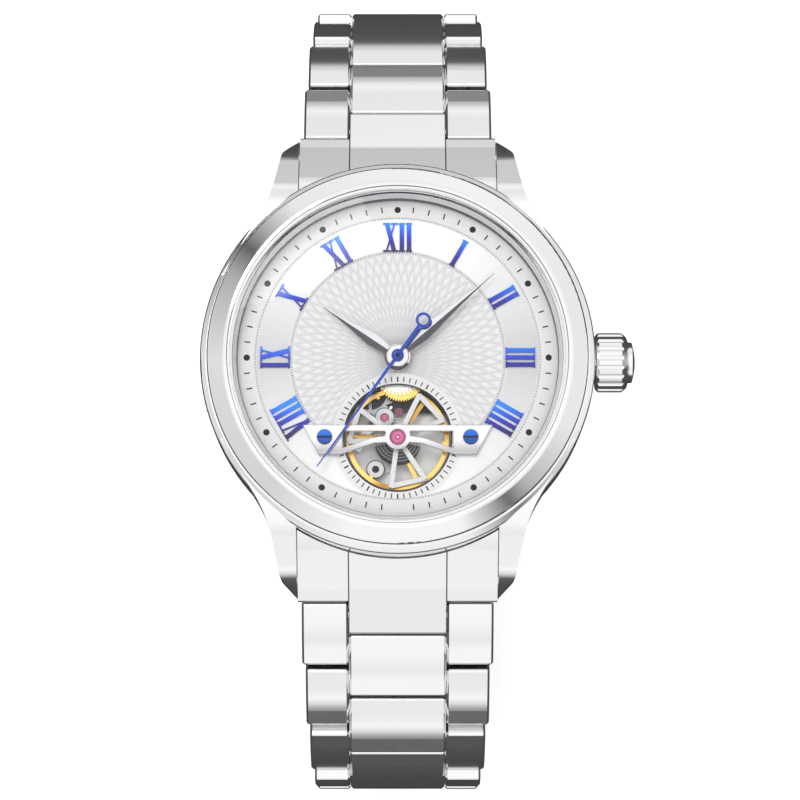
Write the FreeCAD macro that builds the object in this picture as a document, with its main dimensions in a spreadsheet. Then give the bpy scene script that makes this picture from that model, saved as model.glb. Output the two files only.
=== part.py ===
"""A self-winding wristwatch with an open balance, on a three-row steel bracelet closed into a loop.

Frame: origin at the centre of the case back's flat face, +Z out through the dial, +Y to 12 o'clock,
+X to the crown. Millimetres. The spreadsheet "Sizes" holds every driving dimension.
"""

import FreeCAD, Part
import math
import os

import Sketcher
from FreeCAD import Placement, Rotation, Vector

doc = FreeCAD.newDocument("wristwatch")
sheet = doc.addObject("Spreadsheet::Sheet", "Sizes")
X_AXIS, Y_AXIS, Z_AXIS = Vector(1, 0, 0), Vector(0, 1, 0), Vector(0, 0, 1)
nodes = {}


# ---------------------------------------------------------------- sizes, and shapes bound to them

class Size:
    """A number in millimetres or degrees, with the spreadsheet formula that gives it."""

    def __init__(self, value, formula):
        self.value = value
        self.formula = formula

    def __add__(self, other):
        other = as_size(other)
        return Size(self.value + other.value, f"({self.formula} + {other.formula})")

    def __sub__(self, other):
        other = as_size(other)
        return Size(self.value - other.value, f"({self.formula} - {other.formula})")

    def __mul__(self, other):
        other = as_size(other)
        return Size(self.value * other.value, f"({self.formula} * {other.formula})")

    def __truediv__(self, other):
        other = as_size(other)
        return Size(self.value / other.value, f"({self.formula} / {other.formula})")

    def __neg__(self):
        return Size(-self.value, f"(0 - {self.formula})")

    def __radd__(self, other):
        return as_size(other) + self

    def __rsub__(self, other):
        return as_size(other) - self

    def __rmul__(self, other):
        return as_size(other) * self


def as_size(number):
    """A plain number as a Size, or a Size as it is."""
    return number if isinstance(number, Size) else Size(float(number), repr(float(number)))


def size(alias, value):
    """Writes one cell of the sheet and returns the Size that reads it."""
    size.row += 1
    sheet.set(f"A{size.row}", alias)
    sheet.set(f"B{size.row}", repr(value))
    sheet.setAlias(f"B{size.row}", alias)
    return Size(float(value), f"Sizes.{alias}")


size.row = 0


def bind(thing, prop, amount):
    """Sets a property to a Size and ties it to the sheet."""
    thing.setExpression(prop, as_size(amount).formula)


def place(thing, x=0, y=0, z=0, turn=0):
    """Puts a piece at x, y, z, turned about +Z by turn degrees, tied to the sheet."""
    x, y, z, turn = (as_size(q) for q in (x, y, z, turn))
    thing.Placement = Placement(Vector(x.value, y.value, z.value), Rotation(Z_AXIS, turn.value))
    for name, amount in zip("xyz", (x, y, z)):
        bind(thing, f"Placement.Base.{name}", amount)


def unit(v):
    return Vector(v).normalize()


def draw_outline(sketch, corners):
    """Draws a closed outline. A corner is (x, y) or (x, y, rounding radius); each is held by its formulas."""
    corners = [[as_size(q) for q in corner] for corner in corners]
    n = len(corners)
    at = [Vector(c[0].value, c[1].value, 0) for c in corners]
    leave, arrive, bows = [None] * n, [None] * n, {}
    for i, corner in enumerate(corners):
        leave[i] = arrive[i] = at[i]
        if len(corner) > 2:
            back, ahead = unit(at[i - 1] - at[i]), unit(at[(i + 1) % n] - at[i])
            half = back.getAngle(ahead) / 2
            reach = corner[2].value / math.tan(half)
            arrive[i], leave[i] = at[i] + back * reach, at[i] + ahead * reach
            bows[i] = at[i] + unit(back + ahead) * (corner[2].value / math.sin(half))
    lines = [sketch.addGeometry(Part.LineSegment(leave[i], arrive[(i + 1) % n]), False) for i in range(n)]
    for i, corner in enumerate(corners):
        before, after = lines[i - 1], lines[i]
        if i not in bows:
            sketch.addConstraint(Sketcher.Constraint("Coincident", before, 2, after, 1))
            held, end = after, 1
        else:
            centre, radius = bows[i], corner[2].value
            first = math.atan2(arrive[i].y - centre.y, arrive[i].x - centre.x)
            last = math.atan2(leave[i].y - centre.y, leave[i].x - centre.x)
            left_turn = (at[i] - at[i - 1]).cross(at[(i + 1) % n] - at[i]).z > 0
            start, stop = (first, last) if left_turn else (last, first)
            circle = Part.Circle(centre, Z_AXIS, radius)
            if stop < start:
                stop += 2 * math.pi
            arc = sketch.addGeometry(Part.ArcOfCircle(circle, start, stop), False)
            arc_in, arc_out = (1, 2) if left_turn else (2, 1)
            sketch.addConstraint(Sketcher.Constraint("Tangent", before, 2, arc, arc_in))
            sketch.addConstraint(Sketcher.Constraint("Tangent", arc, arc_out, after, 1))
            radius_at = sketch.addConstraint(Sketcher.Constraint("Radius", arc, radius))
            bind(sketch, f"Constraints[{radius_at}]", corner[2])
            held = sketch.addGeometry(Part.Point(at[i]), True)
            end = 1
            sketch.addConstraint(Sketcher.Constraint("PointOnObject", held, 1, before))
            sketch.addConstraint(Sketcher.Constraint("PointOnObject", held, 1, after))
        hold_point(sketch, held, end, corner[0], corner[1])


def hold_point(sketch, geometry, end, x, y):
    """Dimensions a sketch point from the origin, each way tied to its formula."""
    for kind, amount in (("DistanceX", x), ("DistanceY", y)):
        held = sketch.addConstraint(Sketcher.Constraint(kind, -1, 1, geometry, end, amount.value))
        bind(sketch, f"Constraints[{held}]", amount)


def draw_circle(sketch, x, y, radius):
    x, y, radius = as_size(x), as_size(y), as_size(radius)
    circle = Part.Circle(Vector(x.value, y.value, 0), Z_AXIS, radius.value)
    ring = sketch.addGeometry(circle, False)
    held = sketch.addConstraint(Sketcher.Constraint("Radius", ring, radius.value))
    bind(sketch, f"Constraints[{held}]", radius)
    hold_point(sketch, ring, 3, x, y)


def sketched_body(label, plane, outlines, holes=()):
    """A PartDesign body with one sketch on its own origin plane."""
    body = doc.addObject("PartDesign::Body", label)
    body.Label = label
    sketch = body.newObject("Sketcher::SketchObject", label + "_sketch")
    face = [f for f in body.Origin.OriginFeatures if f.Role == plane][0]
    sketch.AttachmentSupport = [(face, "")]
    sketch.MapMode = "FlatFace"
    for outline in outlines:
        draw_outline(sketch, outline)
    for hole in holes:
        draw_circle(sketch, *hole)
    return body, sketch


def lathe(label, *outlines, x=0, y=0):
    """Turns a half section, given as (radius, z) corners, about the Z axis."""
    body, sketch = sketched_body(label, "XZ_Plane", outlines)
    turned = body.newObject("PartDesign::Revolution", label + "_turned")
    turned.Profile = sketch
    turned.ReferenceAxis = (sketch, ["V_Axis"])
    turned.Angle = 360
    place(body, x, y)
    return body


def plate(label, outline, z, height, holes=(), inner=(), x=0, y=0, turn=0):
    """A flat piece: an outline in X and Y, from z up by height."""
    body, sketch = sketched_body(label, "XY_Plane", [outline, *inner], holes)
    pad = body.newObject("PartDesign::Pad", label + "_pad")
    pad.Profile = sketch
    bind(pad, "Length", height)
    place(body, x, y, z, turn)
    return body


def side_slab(label, outline, width, holes=()):
    """A side profile, in Y and Z, padded evenly both ways along X to a full width."""
    body, sketch = sketched_body(label, "YZ_Plane", [outline], holes)
    pad = body.newObject("PartDesign::Pad", label + "_pad")
    pad.Profile = sketch
    pad.SideType = "Symmetric"
    bind(pad, "Length", width)
    return body


def disc(label, radius, z, height, x=0, y=0):
    piece = doc.addObject("Part::Cylinder", label)
    bind(piece, "Radius", radius)
    bind(piece, "Height", height)
    place(piece, x, y, z)
    return piece


def rod(label, radius, length, x=0, y=0, z=0):
    """A round bar along X, centred at x, y, z."""
    piece = doc.addObject("Part::Cylinder", label)
    x, y, z, length = (as_size(q) for q in (x, y, z, length))
    start = x - length * 0.5
    bind(piece, "Radius", radius)
    bind(piece, "Height", length)
    piece.Placement = Placement(Vector(start.value, y.value, z.value), Rotation(Y_AXIS, 90))
    for name, amount in zip("xyz", (start, y, z)):
        bind(piece, f"Placement.Base.{name}", amount)
    return piece


def block(label, lengths, corner):
    piece = doc.addObject("Part::Box", label)
    for prop, amount in zip(("Length", "Width", "Height"), lengths):
        bind(piece, prop, amount)
    place(piece, *corner)
    return piece


def joined(label, *pieces):
    made = doc.addObject("Part::MultiFuse", label)
    made.Shapes = list(pieces)
    return made


def cut(label, base, *tools):
    made = doc.addObject("Part::Cut", label)
    made.Base = base
    made.Tool = tools[0] if len(tools) == 1 else joined(label + "_tools", *tools)
    return made


def shared(label, *pieces):
    made = doc.addObject("Part::MultiCommon", label)
    made.Shapes = list(pieces)
    return made


def mirrored(label, source, normal):
    made = doc.addObject("Part::Mirroring", label)
    made.Source = source
    made.Normal = normal
    return made


def group(label, *pieces):
    """Several separate solids that share one node."""
    made = doc.addObject("Part::Compound", label)
    made.Links = list(pieces)
    return made


def node(name, piece):
    """Names a finished piece as a node of the model."""
    piece.Label = name
    nodes[name] = piece
    return piece


# ---------------------------------------------------------------- driving dimensions

fit_gap = size("fit_gap", 0.05)             # between pieces that sit in one another
run_gap = size("run_gap", 0.06)             # round a pin that turns

# case
back_radius = size("back_radius", 17.2)
window_radius = size("window_radius", 13.35)
case_radius = size("case_radius", 19.7)
case_foot = size("case_foot", 0.9)
case_top = size("case_top", 8.6)
cavity_radius = size("cavity_radius", 14.1)
cavity_floor = size("cavity_floor", 3.1)
neck_radius = size("neck_radius", 16.3)
bezel_radius = size("bezel_radius", 18.95)
bezel_top = size("bezel_top", 10.6)
bezel_bore = size("bezel_bore", 16.95)
crystal_radius = size("crystal_radius", 16.55)
crystal_foot = size("crystal_foot", 9.35)
crystal_edge_height = size("crystal_edge_height", 1.35)
crystal_dome = size("crystal_dome", 0.35)

# dial and hands
dial_radius = size("dial_radius", 16.4)
dial_foot = size("dial_foot", 7.2)
dial_thickness = size("dial_thickness", 0.4)
dial_bore = size("dial_bore", 1.25)
flange_width = size("flange_width", 0.42)
numeral_inner = size("numeral_inner", 10.75)
numeral_height = size("numeral_height", 2.95)
numeral_thickness = size("numeral_thickness", 0.18)
hand_thickness = size("hand_thickness", 0.15)
hour_hand_foot = size("hour_hand_foot", 8.3)
minute_hand_foot = size("minute_hand_foot", 8.6)
seconds_hand_foot = size("seconds_hand_foot", 8.9)
hour_hand_length = size("hour_hand_length", 8.9)
minute_hand_length = size("minute_hand_length", 12.8)
seconds_hand_length = size("seconds_hand_length", 13.7)
seconds_tail_length = size("seconds_tail_length", 4.4)

# balance, seen through the dial
balance_y = size("balance_y", -8.05)
aperture_radius = size("aperture_radius", 5.45)
well_radius = size("well_radius", 5.6)
balance_radius = size("balance_radius", 5.1)
balance_rim = size("balance_rim", 0.42)
cage_radius = size("cage_radius", 5.0)
bridge_half_length = size("bridge_half_length", 9.4)
bridge_thickness = size("bridge_thickness", 0.5)
bridge_screw_x = size("bridge_screw_x", 7.25)
bridge_screw_radius = size("bridge_screw_radius", 0.74)

# movement
plate_radius = size("plate_radius", 14.0)
plate_foot = size("plate_foot", 4.6)
plate_top = size("plate_top", 7.15)
well_floor = size("well_floor", 5.0)
train_foot = size("train_foot", 3.12)
back_bridge_thickness = size("back_bridge_thickness", 0.45)
rotor_radius = size("rotor_radius", 12.4)
rotor_foot = size("rotor_foot", 1.75)
staff_radius = size("staff_radius", 0.12)
arbor_radius = size("arbor_radius", 0.15)
cannon_radius = size("cannon_radius", 0.6)
hour_pipe_radius = size("hour_pipe_radius", 0.9)

# crown and stem
crown_radius = size("crown_radius", 3.05)
crown_length = size("crown_length", 3.3)
crown_z = size("crown_z", 4.5)
stem_radius = size("stem_radius", 0.45)
stem_start = size("stem_start", 5.9)
crown_gap = size("crown_gap", 0.15)

# bracelet
lug_gap = size("lug_gap", 20.1)
lug_reach = size("lug_reach", 24.2)
bracelet_width = size("bracelet_width", 20.0)
near_taper = size("near_taper", 0.7)
far_taper = size("far_taper", 0.3)
centre_width = size("centre_width", 9.8)
side_gap = size("side_gap", 0.06)
link_pitch = size("link_pitch", 6.9)
link_thickness = size("link_thickness", 3.0)
link_gap = size("link_gap", 0.2)
link_crown = size("link_crown", 0.3)
pin_radius = size("pin_radius", 0.6)
first_hinge_y = size("first_hinge_y", 24.89)
first_hinge_z = size("first_hinge_z", -0.4)
clasp_width = size("clasp_width", 17.6)
clasp_wall = size("clasp_wall", 0.9)
clasp_sag = size("clasp_sag", 1.7)
blade_thickness = size("blade_thickness", 0.7)
pusher_length = size("pusher_length", 3.2)

LINKS_A_SIDE = 8
NEAR_LINKS = 4
LINK_SLOPES = (27.5, 38.0, 60.0, 88.0, 106.0, 129.0, 151.0, 171.0)
LOBE_ANGLES = (43.0, 163.0, 283.0)
HOUR_ANGLE, MINUTE_ANGLE, SECONDS_ANGLE = 304.0, 49.0, 215.6

dial_top = dial_foot + dial_thickness
quarter = link_pitch / 4
half_thickness = link_thickness / 2


# ---------------------------------------------------------------- case

def case_middle():
    """Turned case band with four slender lugs that run out of its flanks and curve down."""
    band = lathe(
        "case_band",
        [
            (back_radius + fit_gap, case_foot),
            (case_radius - 1.4, case_foot),
            (case_radius, case_foot + 1.7, 1.2),
            (case_radius, case_top - 0.4, 0.3),
            (bezel_radius + 0.15, case_top),
            (dial_radius + fit_gap, case_top),
            (dial_radius + fit_gap, dial_foot),
            (cavity_radius, dial_foot),
            (cavity_radius, cavity_floor),
            (neck_radius, cavity_floor),
            (neck_radius, case_foot + 0.75),
            (back_radius + fit_gap, case_foot + 0.75),
        ],
    )
    inner = lug_gap / 2
    plan = plate(
        "lug_plan",
        [
            (inner, lug_reach - 10.4),
            (inner + 4.6, lug_reach - 15.4),
            (case_radius - 2.1, lug_reach - 16.0),
            (inner + 2.85, lug_reach - 8.35, 14.0),
            (inner + 1.7, lug_reach - 2.6, 0.9),
            (inner, lug_reach - 0.8),
        ],
        -2,
        12,
    )
    profile = side_slab(
        "lug_profile",
        [
            (lug_reach - 16.2, case_foot + 0.05),
            (lug_reach - 16.2, case_top - 0.1),
            (lug_reach - 7.6, case_top - 0.25, 5.0),
            (lug_reach - 2.4, case_top - 3.7, 6.0),
            (lug_reach + 0.1, case_foot - 0.3, 0.4),
            (lug_reach - 1.1, case_foot - 1.9, 0.3),
            (lug_reach - 3.7, case_foot - 1.4, 2.0),
            (lug_reach - 7.5, case_foot + 0.05, 3.0),
        ],
        50,
    )
    lug = shared("lug_right_top", plan, profile)

    left = mirrored("lug_left_top", lug, X_AXIS)
    lugs = [lug, left, mirrored("lug_right_bottom", lug, Y_AXIS), mirrored("lug_left_bottom", left, Y_AXIS)]
    whole = joined("case_with_lugs", band, *lugs)
    inside = lathe("case_inside", [
        (0, 0), (back_radius, 0), (back_radius, case_foot + 0.75),
        (back_radius - 0.2, case_foot + 0.75), (back_radius - 0.2, case_foot + 1.15),
        (neck_radius + 0.15, case_foot + 1.15), (neck_radius + 0.15, case_foot + 0.75),
        (neck_radius, case_foot + 0.75), (neck_radius, cavity_floor),
        (cavity_radius, cavity_floor), (cavity_radius, dial_foot),
        (dial_radius + fit_gap, dial_foot), (dial_radius + fit_gap, case_top + 1), (0, case_top + 1),
    ])
    stem_way = rod("stem_way", stem_radius + 0.12, 12, case_radius - 1, 0, crown_z)
    crown_seat = rod("crown_seat", crown_radius + 0.2, 2, case_radius + 1, 0, crown_z)
    bar_ways = [rod(f"bar_way_{s}", pin_radius, lug_gap + 2.0, 0, bar_y * s, bar_z) for s in (1, -1)]
    return cut("case_middle", whole, inside, stem_way, crown_seat, *bar_ways)


bar_y = lug_reach - 2.6
bar_z = case_foot + 0.9
node("case_middle", case_middle())

node("bezel", lathe("bezel", [
    (dial_radius + fit_gap, case_top),
    (bezel_radius, case_top),
    (bezel_radius, case_top + 1.2, 0.35),
    (bezel_bore + 0.4, bezel_top - 0.08, 1.2),
    (bezel_bore, bezel_top),
    (bezel_bore, crystal_foot - fit_gap),
    (dial_radius + fit_gap, crystal_foot - fit_gap),
]))
node("crystal", lathe("crystal", [
    (0, crystal_foot),
    (crystal_radius, crystal_foot),
    (crystal_radius, crystal_foot + crystal_edge_height - 0.3),
    (crystal_radius - 0.35, crystal_foot + crystal_edge_height),
    (crystal_radius / 2, crystal_foot + crystal_edge_height + crystal_dome, 90.0),
    (0, crystal_foot + crystal_edge_height + crystal_dome),
]))
crystal_ring = lathe("crystal_ring", [
    (crystal_radius + 0.02, crystal_foot),
    (bezel_bore - 0.02, crystal_foot),
    (bezel_bore - 0.02, bezel_top - 0.15),
    (crystal_radius + 0.02, bezel_top - 0.15),
])
back_ring = lathe("back_ring", [
    (neck_radius + 0.2, case_foot + 0.73),
    (back_radius - 0.25, case_foot + 0.73),
    (back_radius - 0.25, case_foot + 1.1),
    (neck_radius + 0.2, case_foot + 1.1),
])
node("gaskets", group("gaskets", crystal_ring, back_ring))
node("case_back", lathe("case_back", [
    (window_radius + fit_gap, 0),
    (back_radius - 0.6, 0),
    (back_radius, 0.6),
    (back_radius, case_foot + 0.7),
    (neck_radius - fit_gap, case_foot + 0.7),
    (neck_radius - fit_gap, cavity_floor - 0.05),
    (neck_radius - 1.0, cavity_floor - 0.05),
    (neck_radius - 1.0, case_foot + 0.9),
    (window_radius - 0.75, case_foot + 0.9),
    (window_radius - 0.75, case_foot + 0.35),
    (window_radius + fit_gap, case_foot + 0.35),
]))
node("back_glass", disc("back_glass", window_radius, 0, case_foot + 0.3))


# ---------------------------------------------------------------- dial

aperture = disc("dial_aperture", aperture_radius, dial_foot - 1, 3, 0, balance_y)
centre_bore = disc("dial_centre_bore", dial_bore, dial_foot - 1, 3)
screw_ways = [disc(f"dial_screw_way_{side}", 0.42, dial_foot - 1, 3, bridge_screw_x * side, balance_y)
              for side in (1, -1)]
node("dial", cut("dial", disc("dial_blank", dial_radius, dial_foot, dial_thickness),
                 aperture, centre_bore, *screw_ways))
node("flange_ring", lathe("flange_ring", [
    (dial_radius - flange_width, dial_top),
    (dial_radius, dial_top),
    (dial_radius, crystal_foot - fit_gap),
    (dial_radius - 0.12, crystal_foot - fit_gap),
    (dial_radius - flange_width, dial_top + 0.7),
]))

THICK, THIN, SERIF = 0.45, 0.17, 0.17
STROKE_WIDTHS = {"I": 0.72, "V": 1.55, "X": 1.55}


def numeral_strokes(text, height):
    """Outlines of the strokes of a Roman numeral, its middle at x = 0 and its foot at y = 0."""
    strokes = []
    left = -sum(STROKE_WIDTHS[c] for c in text) / 2

    def bar(x0, x1, y0, y1):
        strokes.append([(x0, y0), (x1, y0), (x1, y1), (x0, y1)])

    def slant(foot, head, width):
        strokes.append([(foot - width / 2, 0), (foot + width / 2, 0),
                        (head + width / 2, height), (head - width / 2, height)])

    for letter in text:
        width = STROKE_WIDTHS[letter]
        middle = left + width / 2
        edge = width / 2 - 0.06
        if letter == "I":
            bar(middle - THICK / 2, middle + THICK / 2, 0, height)
            bar(middle - edge, middle + edge, 0, SERIF)
            bar(middle - edge, middle + edge, height - SERIF, height)
        elif letter == "V":
            slant(middle + 0.06, middle - edge + 0.32, THICK)
            slant(middle + 0.06, middle + edge - 0.28, THIN)
            for side in (-1, 1):
                x = middle + side * (edge - 0.3)
                bar(x - 0.36, x + 0.36, height - SERIF, height)
        else:
            slant(middle + edge - 0.34, middle - edge + 0.34, THICK)
            slant(middle - edge + 0.3, middle + edge - 0.3, THIN)
            for side in (-1, 1):
                x = middle + side * (edge - 0.32)
                bar(x - 0.36, x + 0.36, height - SERIF, height)
                bar(x - 0.36, x + 0.36, 0, SERIF)
        left += width
    return strokes


def prism(points, z, height):
    """A straight sided solid on a closed outline."""
    wire = Part.makePolygon([Vector(x, y, z) for x, y in points] + [Vector(*points[0], z)])
    return Part.Face(wire).extrude(Vector(0, 0, height))


def shape_node(name, shape):
    """A piece whose outline comes from a formula that no sketch holds well."""
    piece = doc.addObject("Part::Feature", name)
    piece.Shape = shape
    return node(name, piece)


def raised_numerals():
    """Nine applied numerals, standing outwards round the satin chapter ring; the aperture takes three."""
    made = []
    for hour, text in ((12, "XII"), (1, "I"), (2, "II"), (3, "III"), (4, "IIII"), (8, "VIII"), (9, "IX"),
                       (10, "X"), (11, "XI")):
        strokes = [prism(outline, dial_top.value, numeral_thickness.value)
                   for outline in numeral_strokes(text, numeral_height.value)]
        glyph = strokes[0].multiFuse(strokes[1:]) if len(strokes) > 1 else strokes[0]
        glyph.translate(Vector(0, numeral_inner.value, 0))
        glyph.rotate(Vector(), Z_AXIS, -30 * hour)
        made += glyph.Solids
    return Part.makeCompound(made)


shape_node("hour_numerals", raised_numerals())


# ---------------------------------------------------------------- hands

def hand(name, outline, foot, hub_radius, bore_radius, clock_angle, extras=(), holes=()):
    """A flat hand with its outline along local X, on a hub, pointing clock_angle degrees past 12."""
    blade = plate(name + "_blade", outline, 0, hand_thickness)
    hub = disc(name + "_hub", hub_radius, 0, hand_thickness)
    bore = disc(name + "_bore", bore_radius, -1, 3)
    made = cut(name, joined(name + "_solid", blade, hub, *extras), bore, *holes)
    place(made, 0, 0, foot, 90 - clock_angle)
    return node(name, made)


hand("hour_hand", [
    (0.4, -0.65), (hour_hand_length * 0.3, -0.8), (hour_hand_length, -0.05),
    (hour_hand_length, 0.05), (hour_hand_length * 0.3, 0.8), (0.4, 0.65),
], hour_hand_foot, size("hour_hub_radius", 1.3), hour_pipe_radius, HOUR_ANGLE)
hand("minute_hand", [
    (0.4, -0.45), (minute_hand_length * 0.25, -0.7), (minute_hand_length, -0.04),
    (minute_hand_length, 0.04), (minute_hand_length * 0.25, 0.7), (0.4, 0.45),
], minute_hand_foot, size("minute_hub_radius", 1.15), cannon_radius, MINUTE_ANGLE)
counter_ring = disc("seconds_counter_ring", 0.75, 0, hand_thickness, -seconds_tail_length, 0)
counter_hole = disc("seconds_counter_hole", 0.5, -1, 3, -seconds_tail_length, 0)
hand("seconds_hand", [
    (-seconds_tail_length, -0.17), (0, -0.17), (seconds_hand_length, -0.05),
    (seconds_hand_length, 0.05), (0, 0.17), (-seconds_tail_length, 0.17),
], seconds_hand_foot, size("seconds_hub_radius", 0.62), arbor_radius, SECONDS_ANGLE,
     [counter_ring], [counter_hole])


# ---------------------------------------------------------------- movement: plates

CENTRE, BARREL, THIRD = (0.0, 0.0), (-3.61, 5.16), (3.447, 2.893)
ESCAPE, PALLET, MINUTE = (-2.75, -3.3), (-1.3, -5.8), (-2.49, 1.44)

recesses = [
    disc("balance_well", well_radius, well_floor, 3, 0, balance_y),
    disc("escape_recess", 2.75, well_floor, 0.6, *ESCAPE),
    disc("barrel_recess", 6.0, plate_foot - 1, 2.4, *BARREL),
    disc("minute_recess", 2.6, plate_top - 1.0, 3, *MINUTE),
    disc("hour_recess", 2.7, plate_top - 1.0, 3),
    disc("centre_way", 0.8, plate_foot - 1, 5),
    disc("third_way", 0.4, plate_foot - 1, 1.6, *THIRD),
    disc("escape_way", 0.7, plate_foot - 1, 3, *ESCAPE),
    disc("escape_pivot_hole", arbor_radius + 0.05, well_floor, 1.2, *ESCAPE),
    disc("pallet_way", 0.22, plate_foot - 1, 2, *PALLET),
    disc("floor_jewel_seat", 0.5, plate_foot - 1, 2, 0, balance_y),
    rod("stem_channel", stem_radius + 0.1, 9.0, 10.0, 0, crown_z),
    block("lever_channel", (1.9, 3.4, 1.0), (7.85, -0.1, plate_foot - 0.5)),
    *[disc(f"bridge_screw_hole_{side}", 0.3, plate_top - 1.2, 3, bridge_screw_x * side, balance_y)
      for side in (1, -1)],
]
plate_blank = disc("main_plate_blank", plate_radius, plate_foot, plate_top - plate_foot)
node("main_plate", cut("main_plate", plate_blank, *recesses))

back_rim = lathe("train_rim", [
    (plate_radius - 0.9, train_foot),
    (plate_radius, train_foot),
    (plate_radius, plate_foot),
    (plate_radius - 0.9, plate_foot),
])
back_plate = disc("train_bridge_plate", plate_radius - 0.5, train_foot, back_bridge_thickness)
JEWEL_RADIUS = 0.55
jewel_places = {"centre": CENTRE, "third": THIRD, "escape": ESCAPE, "pallet": PALLET}
bridge_holes = [disc(f"{place_name}_jewel_seat", JEWEL_RADIUS, train_foot - 1, 3, *at)
                for place_name, at in jewel_places.items()]
bridge_holes.append(disc("barrel_arbor_seat", 0.75, train_foot - 1, 3, *BARREL))
bridge_holes.append(rod("rim_stem_way", stem_radius + 0.1, 3.0, plate_radius - 0.5, 0, crown_z))
rotor_post = disc("rotor_post", 0.92, rotor_foot - 0.1, train_foot - rotor_foot + 0.1)
node("train_bridge", cut("train_bridge", joined("train_bridge_solid", back_rim, back_plate, rotor_post),
                         *bridge_holes))


def jewel(name, x, y, z, height, bore):
    """A ring stone pressed into its seat."""
    return cut(f"{name}_jewel", disc(f"{name}_jewel_blank", JEWEL_RADIUS, z, height, x, y),
               disc(f"{name}_jewel_hole", bore, z - 1, 3, x, y))


train_jewels = [jewel(n, *at, train_foot, 0.35, arbor_radius + 0.03) for n, at in jewel_places.items()]


# ---------------------------------------------------------------- movement: wheels

def gear_outline(teeth, radius, module):
    """Straight flanked teeth about the origin: narrow tips above the pitch radius, wider roots below."""
    points = []
    for k in range(teeth):
        for share, reach in ((-0.2, -1.0), (-0.1, 0.55), (0.1, 0.55), (0.2, -1.0)):
            turn = 2 * math.pi * (k + share) / teeth
            out = radius + reach * module
            points.append((out * math.cos(turn), out * math.sin(turn)))
    return points


def cylinder(radius, z, height, x=0.0, y=0.0):
    return Part.makeCylinder(radius, height, Vector(x, y, z))


def pinion(teeth, module, z, height):
    """A toothed wheel about the origin, with no crossings."""
    return prism(gear_outline(teeth, teeth * module / 2, module), z, height)


def train_wheel(teeth, module, z, height, crossings=4):
    """A toothed wheel about the origin with crossed-out arms."""
    blank = pinion(teeth, module, z, height)
    pitch = teeth * module / 2
    inner, outer, arm = pitch * 0.25, pitch - 1.0 * module - 0.32, 0.3
    ring = cylinder(outer, z - 1, 3).cut(cylinder(inner, z - 1, 3))
    arms = [Part.makeBox(outer + 1, arm, 3, Vector(0, -arm / 2, z - 1)) for k in range(crossings)]
    for k, bar in enumerate(arms):
        bar.rotate(Vector(), Z_AXIS, 360 * k / crossings)
    return blank.cut(ring.cut(arms[0].multiFuse(arms[1:])))


def solid_of(*shapes):
    whole = shapes[0].multiFuse(list(shapes[1:]))
    return whole.removeSplitter()


def seat(name, shape, x, y, turn=0.0):
    """A wheel built about the origin, set on its own axis with its own placement."""
    made = shape_node(name, shape)
    made.Placement = Placement(Vector(x, y, 0), Rotation(Z_AXIS, turn))
    return made


arbor = arbor_radius.value
seat("fourth_wheel", solid_of(
    train_wheel(72, 0.1074, 3.65, 0.12),
    pinion(10, 0.10588, 3.77, 0.22),
    cylinder(arbor, 3.14, seconds_hand_foot.value + hand_thickness.value - 3.14),
), *CENTRE)
seat("third_wheel", solid_of(
    train_wheel(75, 0.10588, 3.85, 0.12),
    pinion(10, 0.1, 4.03, 0.19),
    cylinder(arbor, 3.14, 1.7),
), *THIRD, 2.4)
tube_radius = 0.36
seat("centre_wheel", solid_of(
    train_wheel(80, 0.1, 4.08, 0.1),
    pinion(10, 0.14, 4.18, 0.4),
    cylinder(tube_radius, 4.05, 3.8),
).cut(cylinder(arbor + 0.06, 3, 7)), *CENTRE)
seat("barrel", solid_of(
    pinion(80, 0.14, 4.25, 0.28),
    cylinder(5.3, 4.25, 1.6),
).cut(cylinder(5.1, 4.4, 1.3)).cut(cylinder(0.62, 3, 5)), *BARREL, 2.2)
seat("escape_wheel", solid_of(
    prism([((2.45 if k % 2 else 1.95) * math.cos(math.radians(k * 9 + (6 if k % 2 else 0))),
            (2.45 if k % 2 else 1.95) * math.sin(math.radians(k * 9 + (6 if k % 2 else 0))))
           for k in range(40)], 5.36, 0.14).cut(
        cylinder(1.65, 5, 1).cut(cylinder(0.55, 5, 1)).cut(Part.makeBox(4, 0.3, 1, Vector(-2, -0.15, 5))).cut(
            Part.makeBox(0.3, 4, 1, Vector(-0.15, -2, 5)))),
    pinion(8, 0.1074, 3.63, 0.25),
    cylinder(arbor, 3.14, 2.75),
), *ESCAPE)
cannon = cannon_radius.value
seat("cannon_pinion", solid_of(
    pinion(12, 0.12, 6.3, 0.25),
    cylinder(cannon, 6.1, minute_hand_foot.value + hand_thickness.value - 6.1),
).cut(cylinder(tube_radius, 6, 1.85)).cut(cylinder(arbor + 0.06, 6, 4)), *CENTRE)
seat("minute_wheel", solid_of(
    train_wheel(36, 0.12, 6.3, 0.2),
    pinion(10, 0.1152, 6.5, 0.4),
    cylinder(0.2, 6.16, 0.9),
), *MINUTE, 3.0)
pipe = hour_pipe_radius.value
seat("hour_wheel", solid_of(
    pinion(40, 0.1152, 6.65, 0.2),
    cylinder(pipe, 6.65, hour_hand_foot.value + hand_thickness.value - 6.65),
).cut(cylinder(cannon + 0.06, 6, 4)), *CENTRE)


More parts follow.
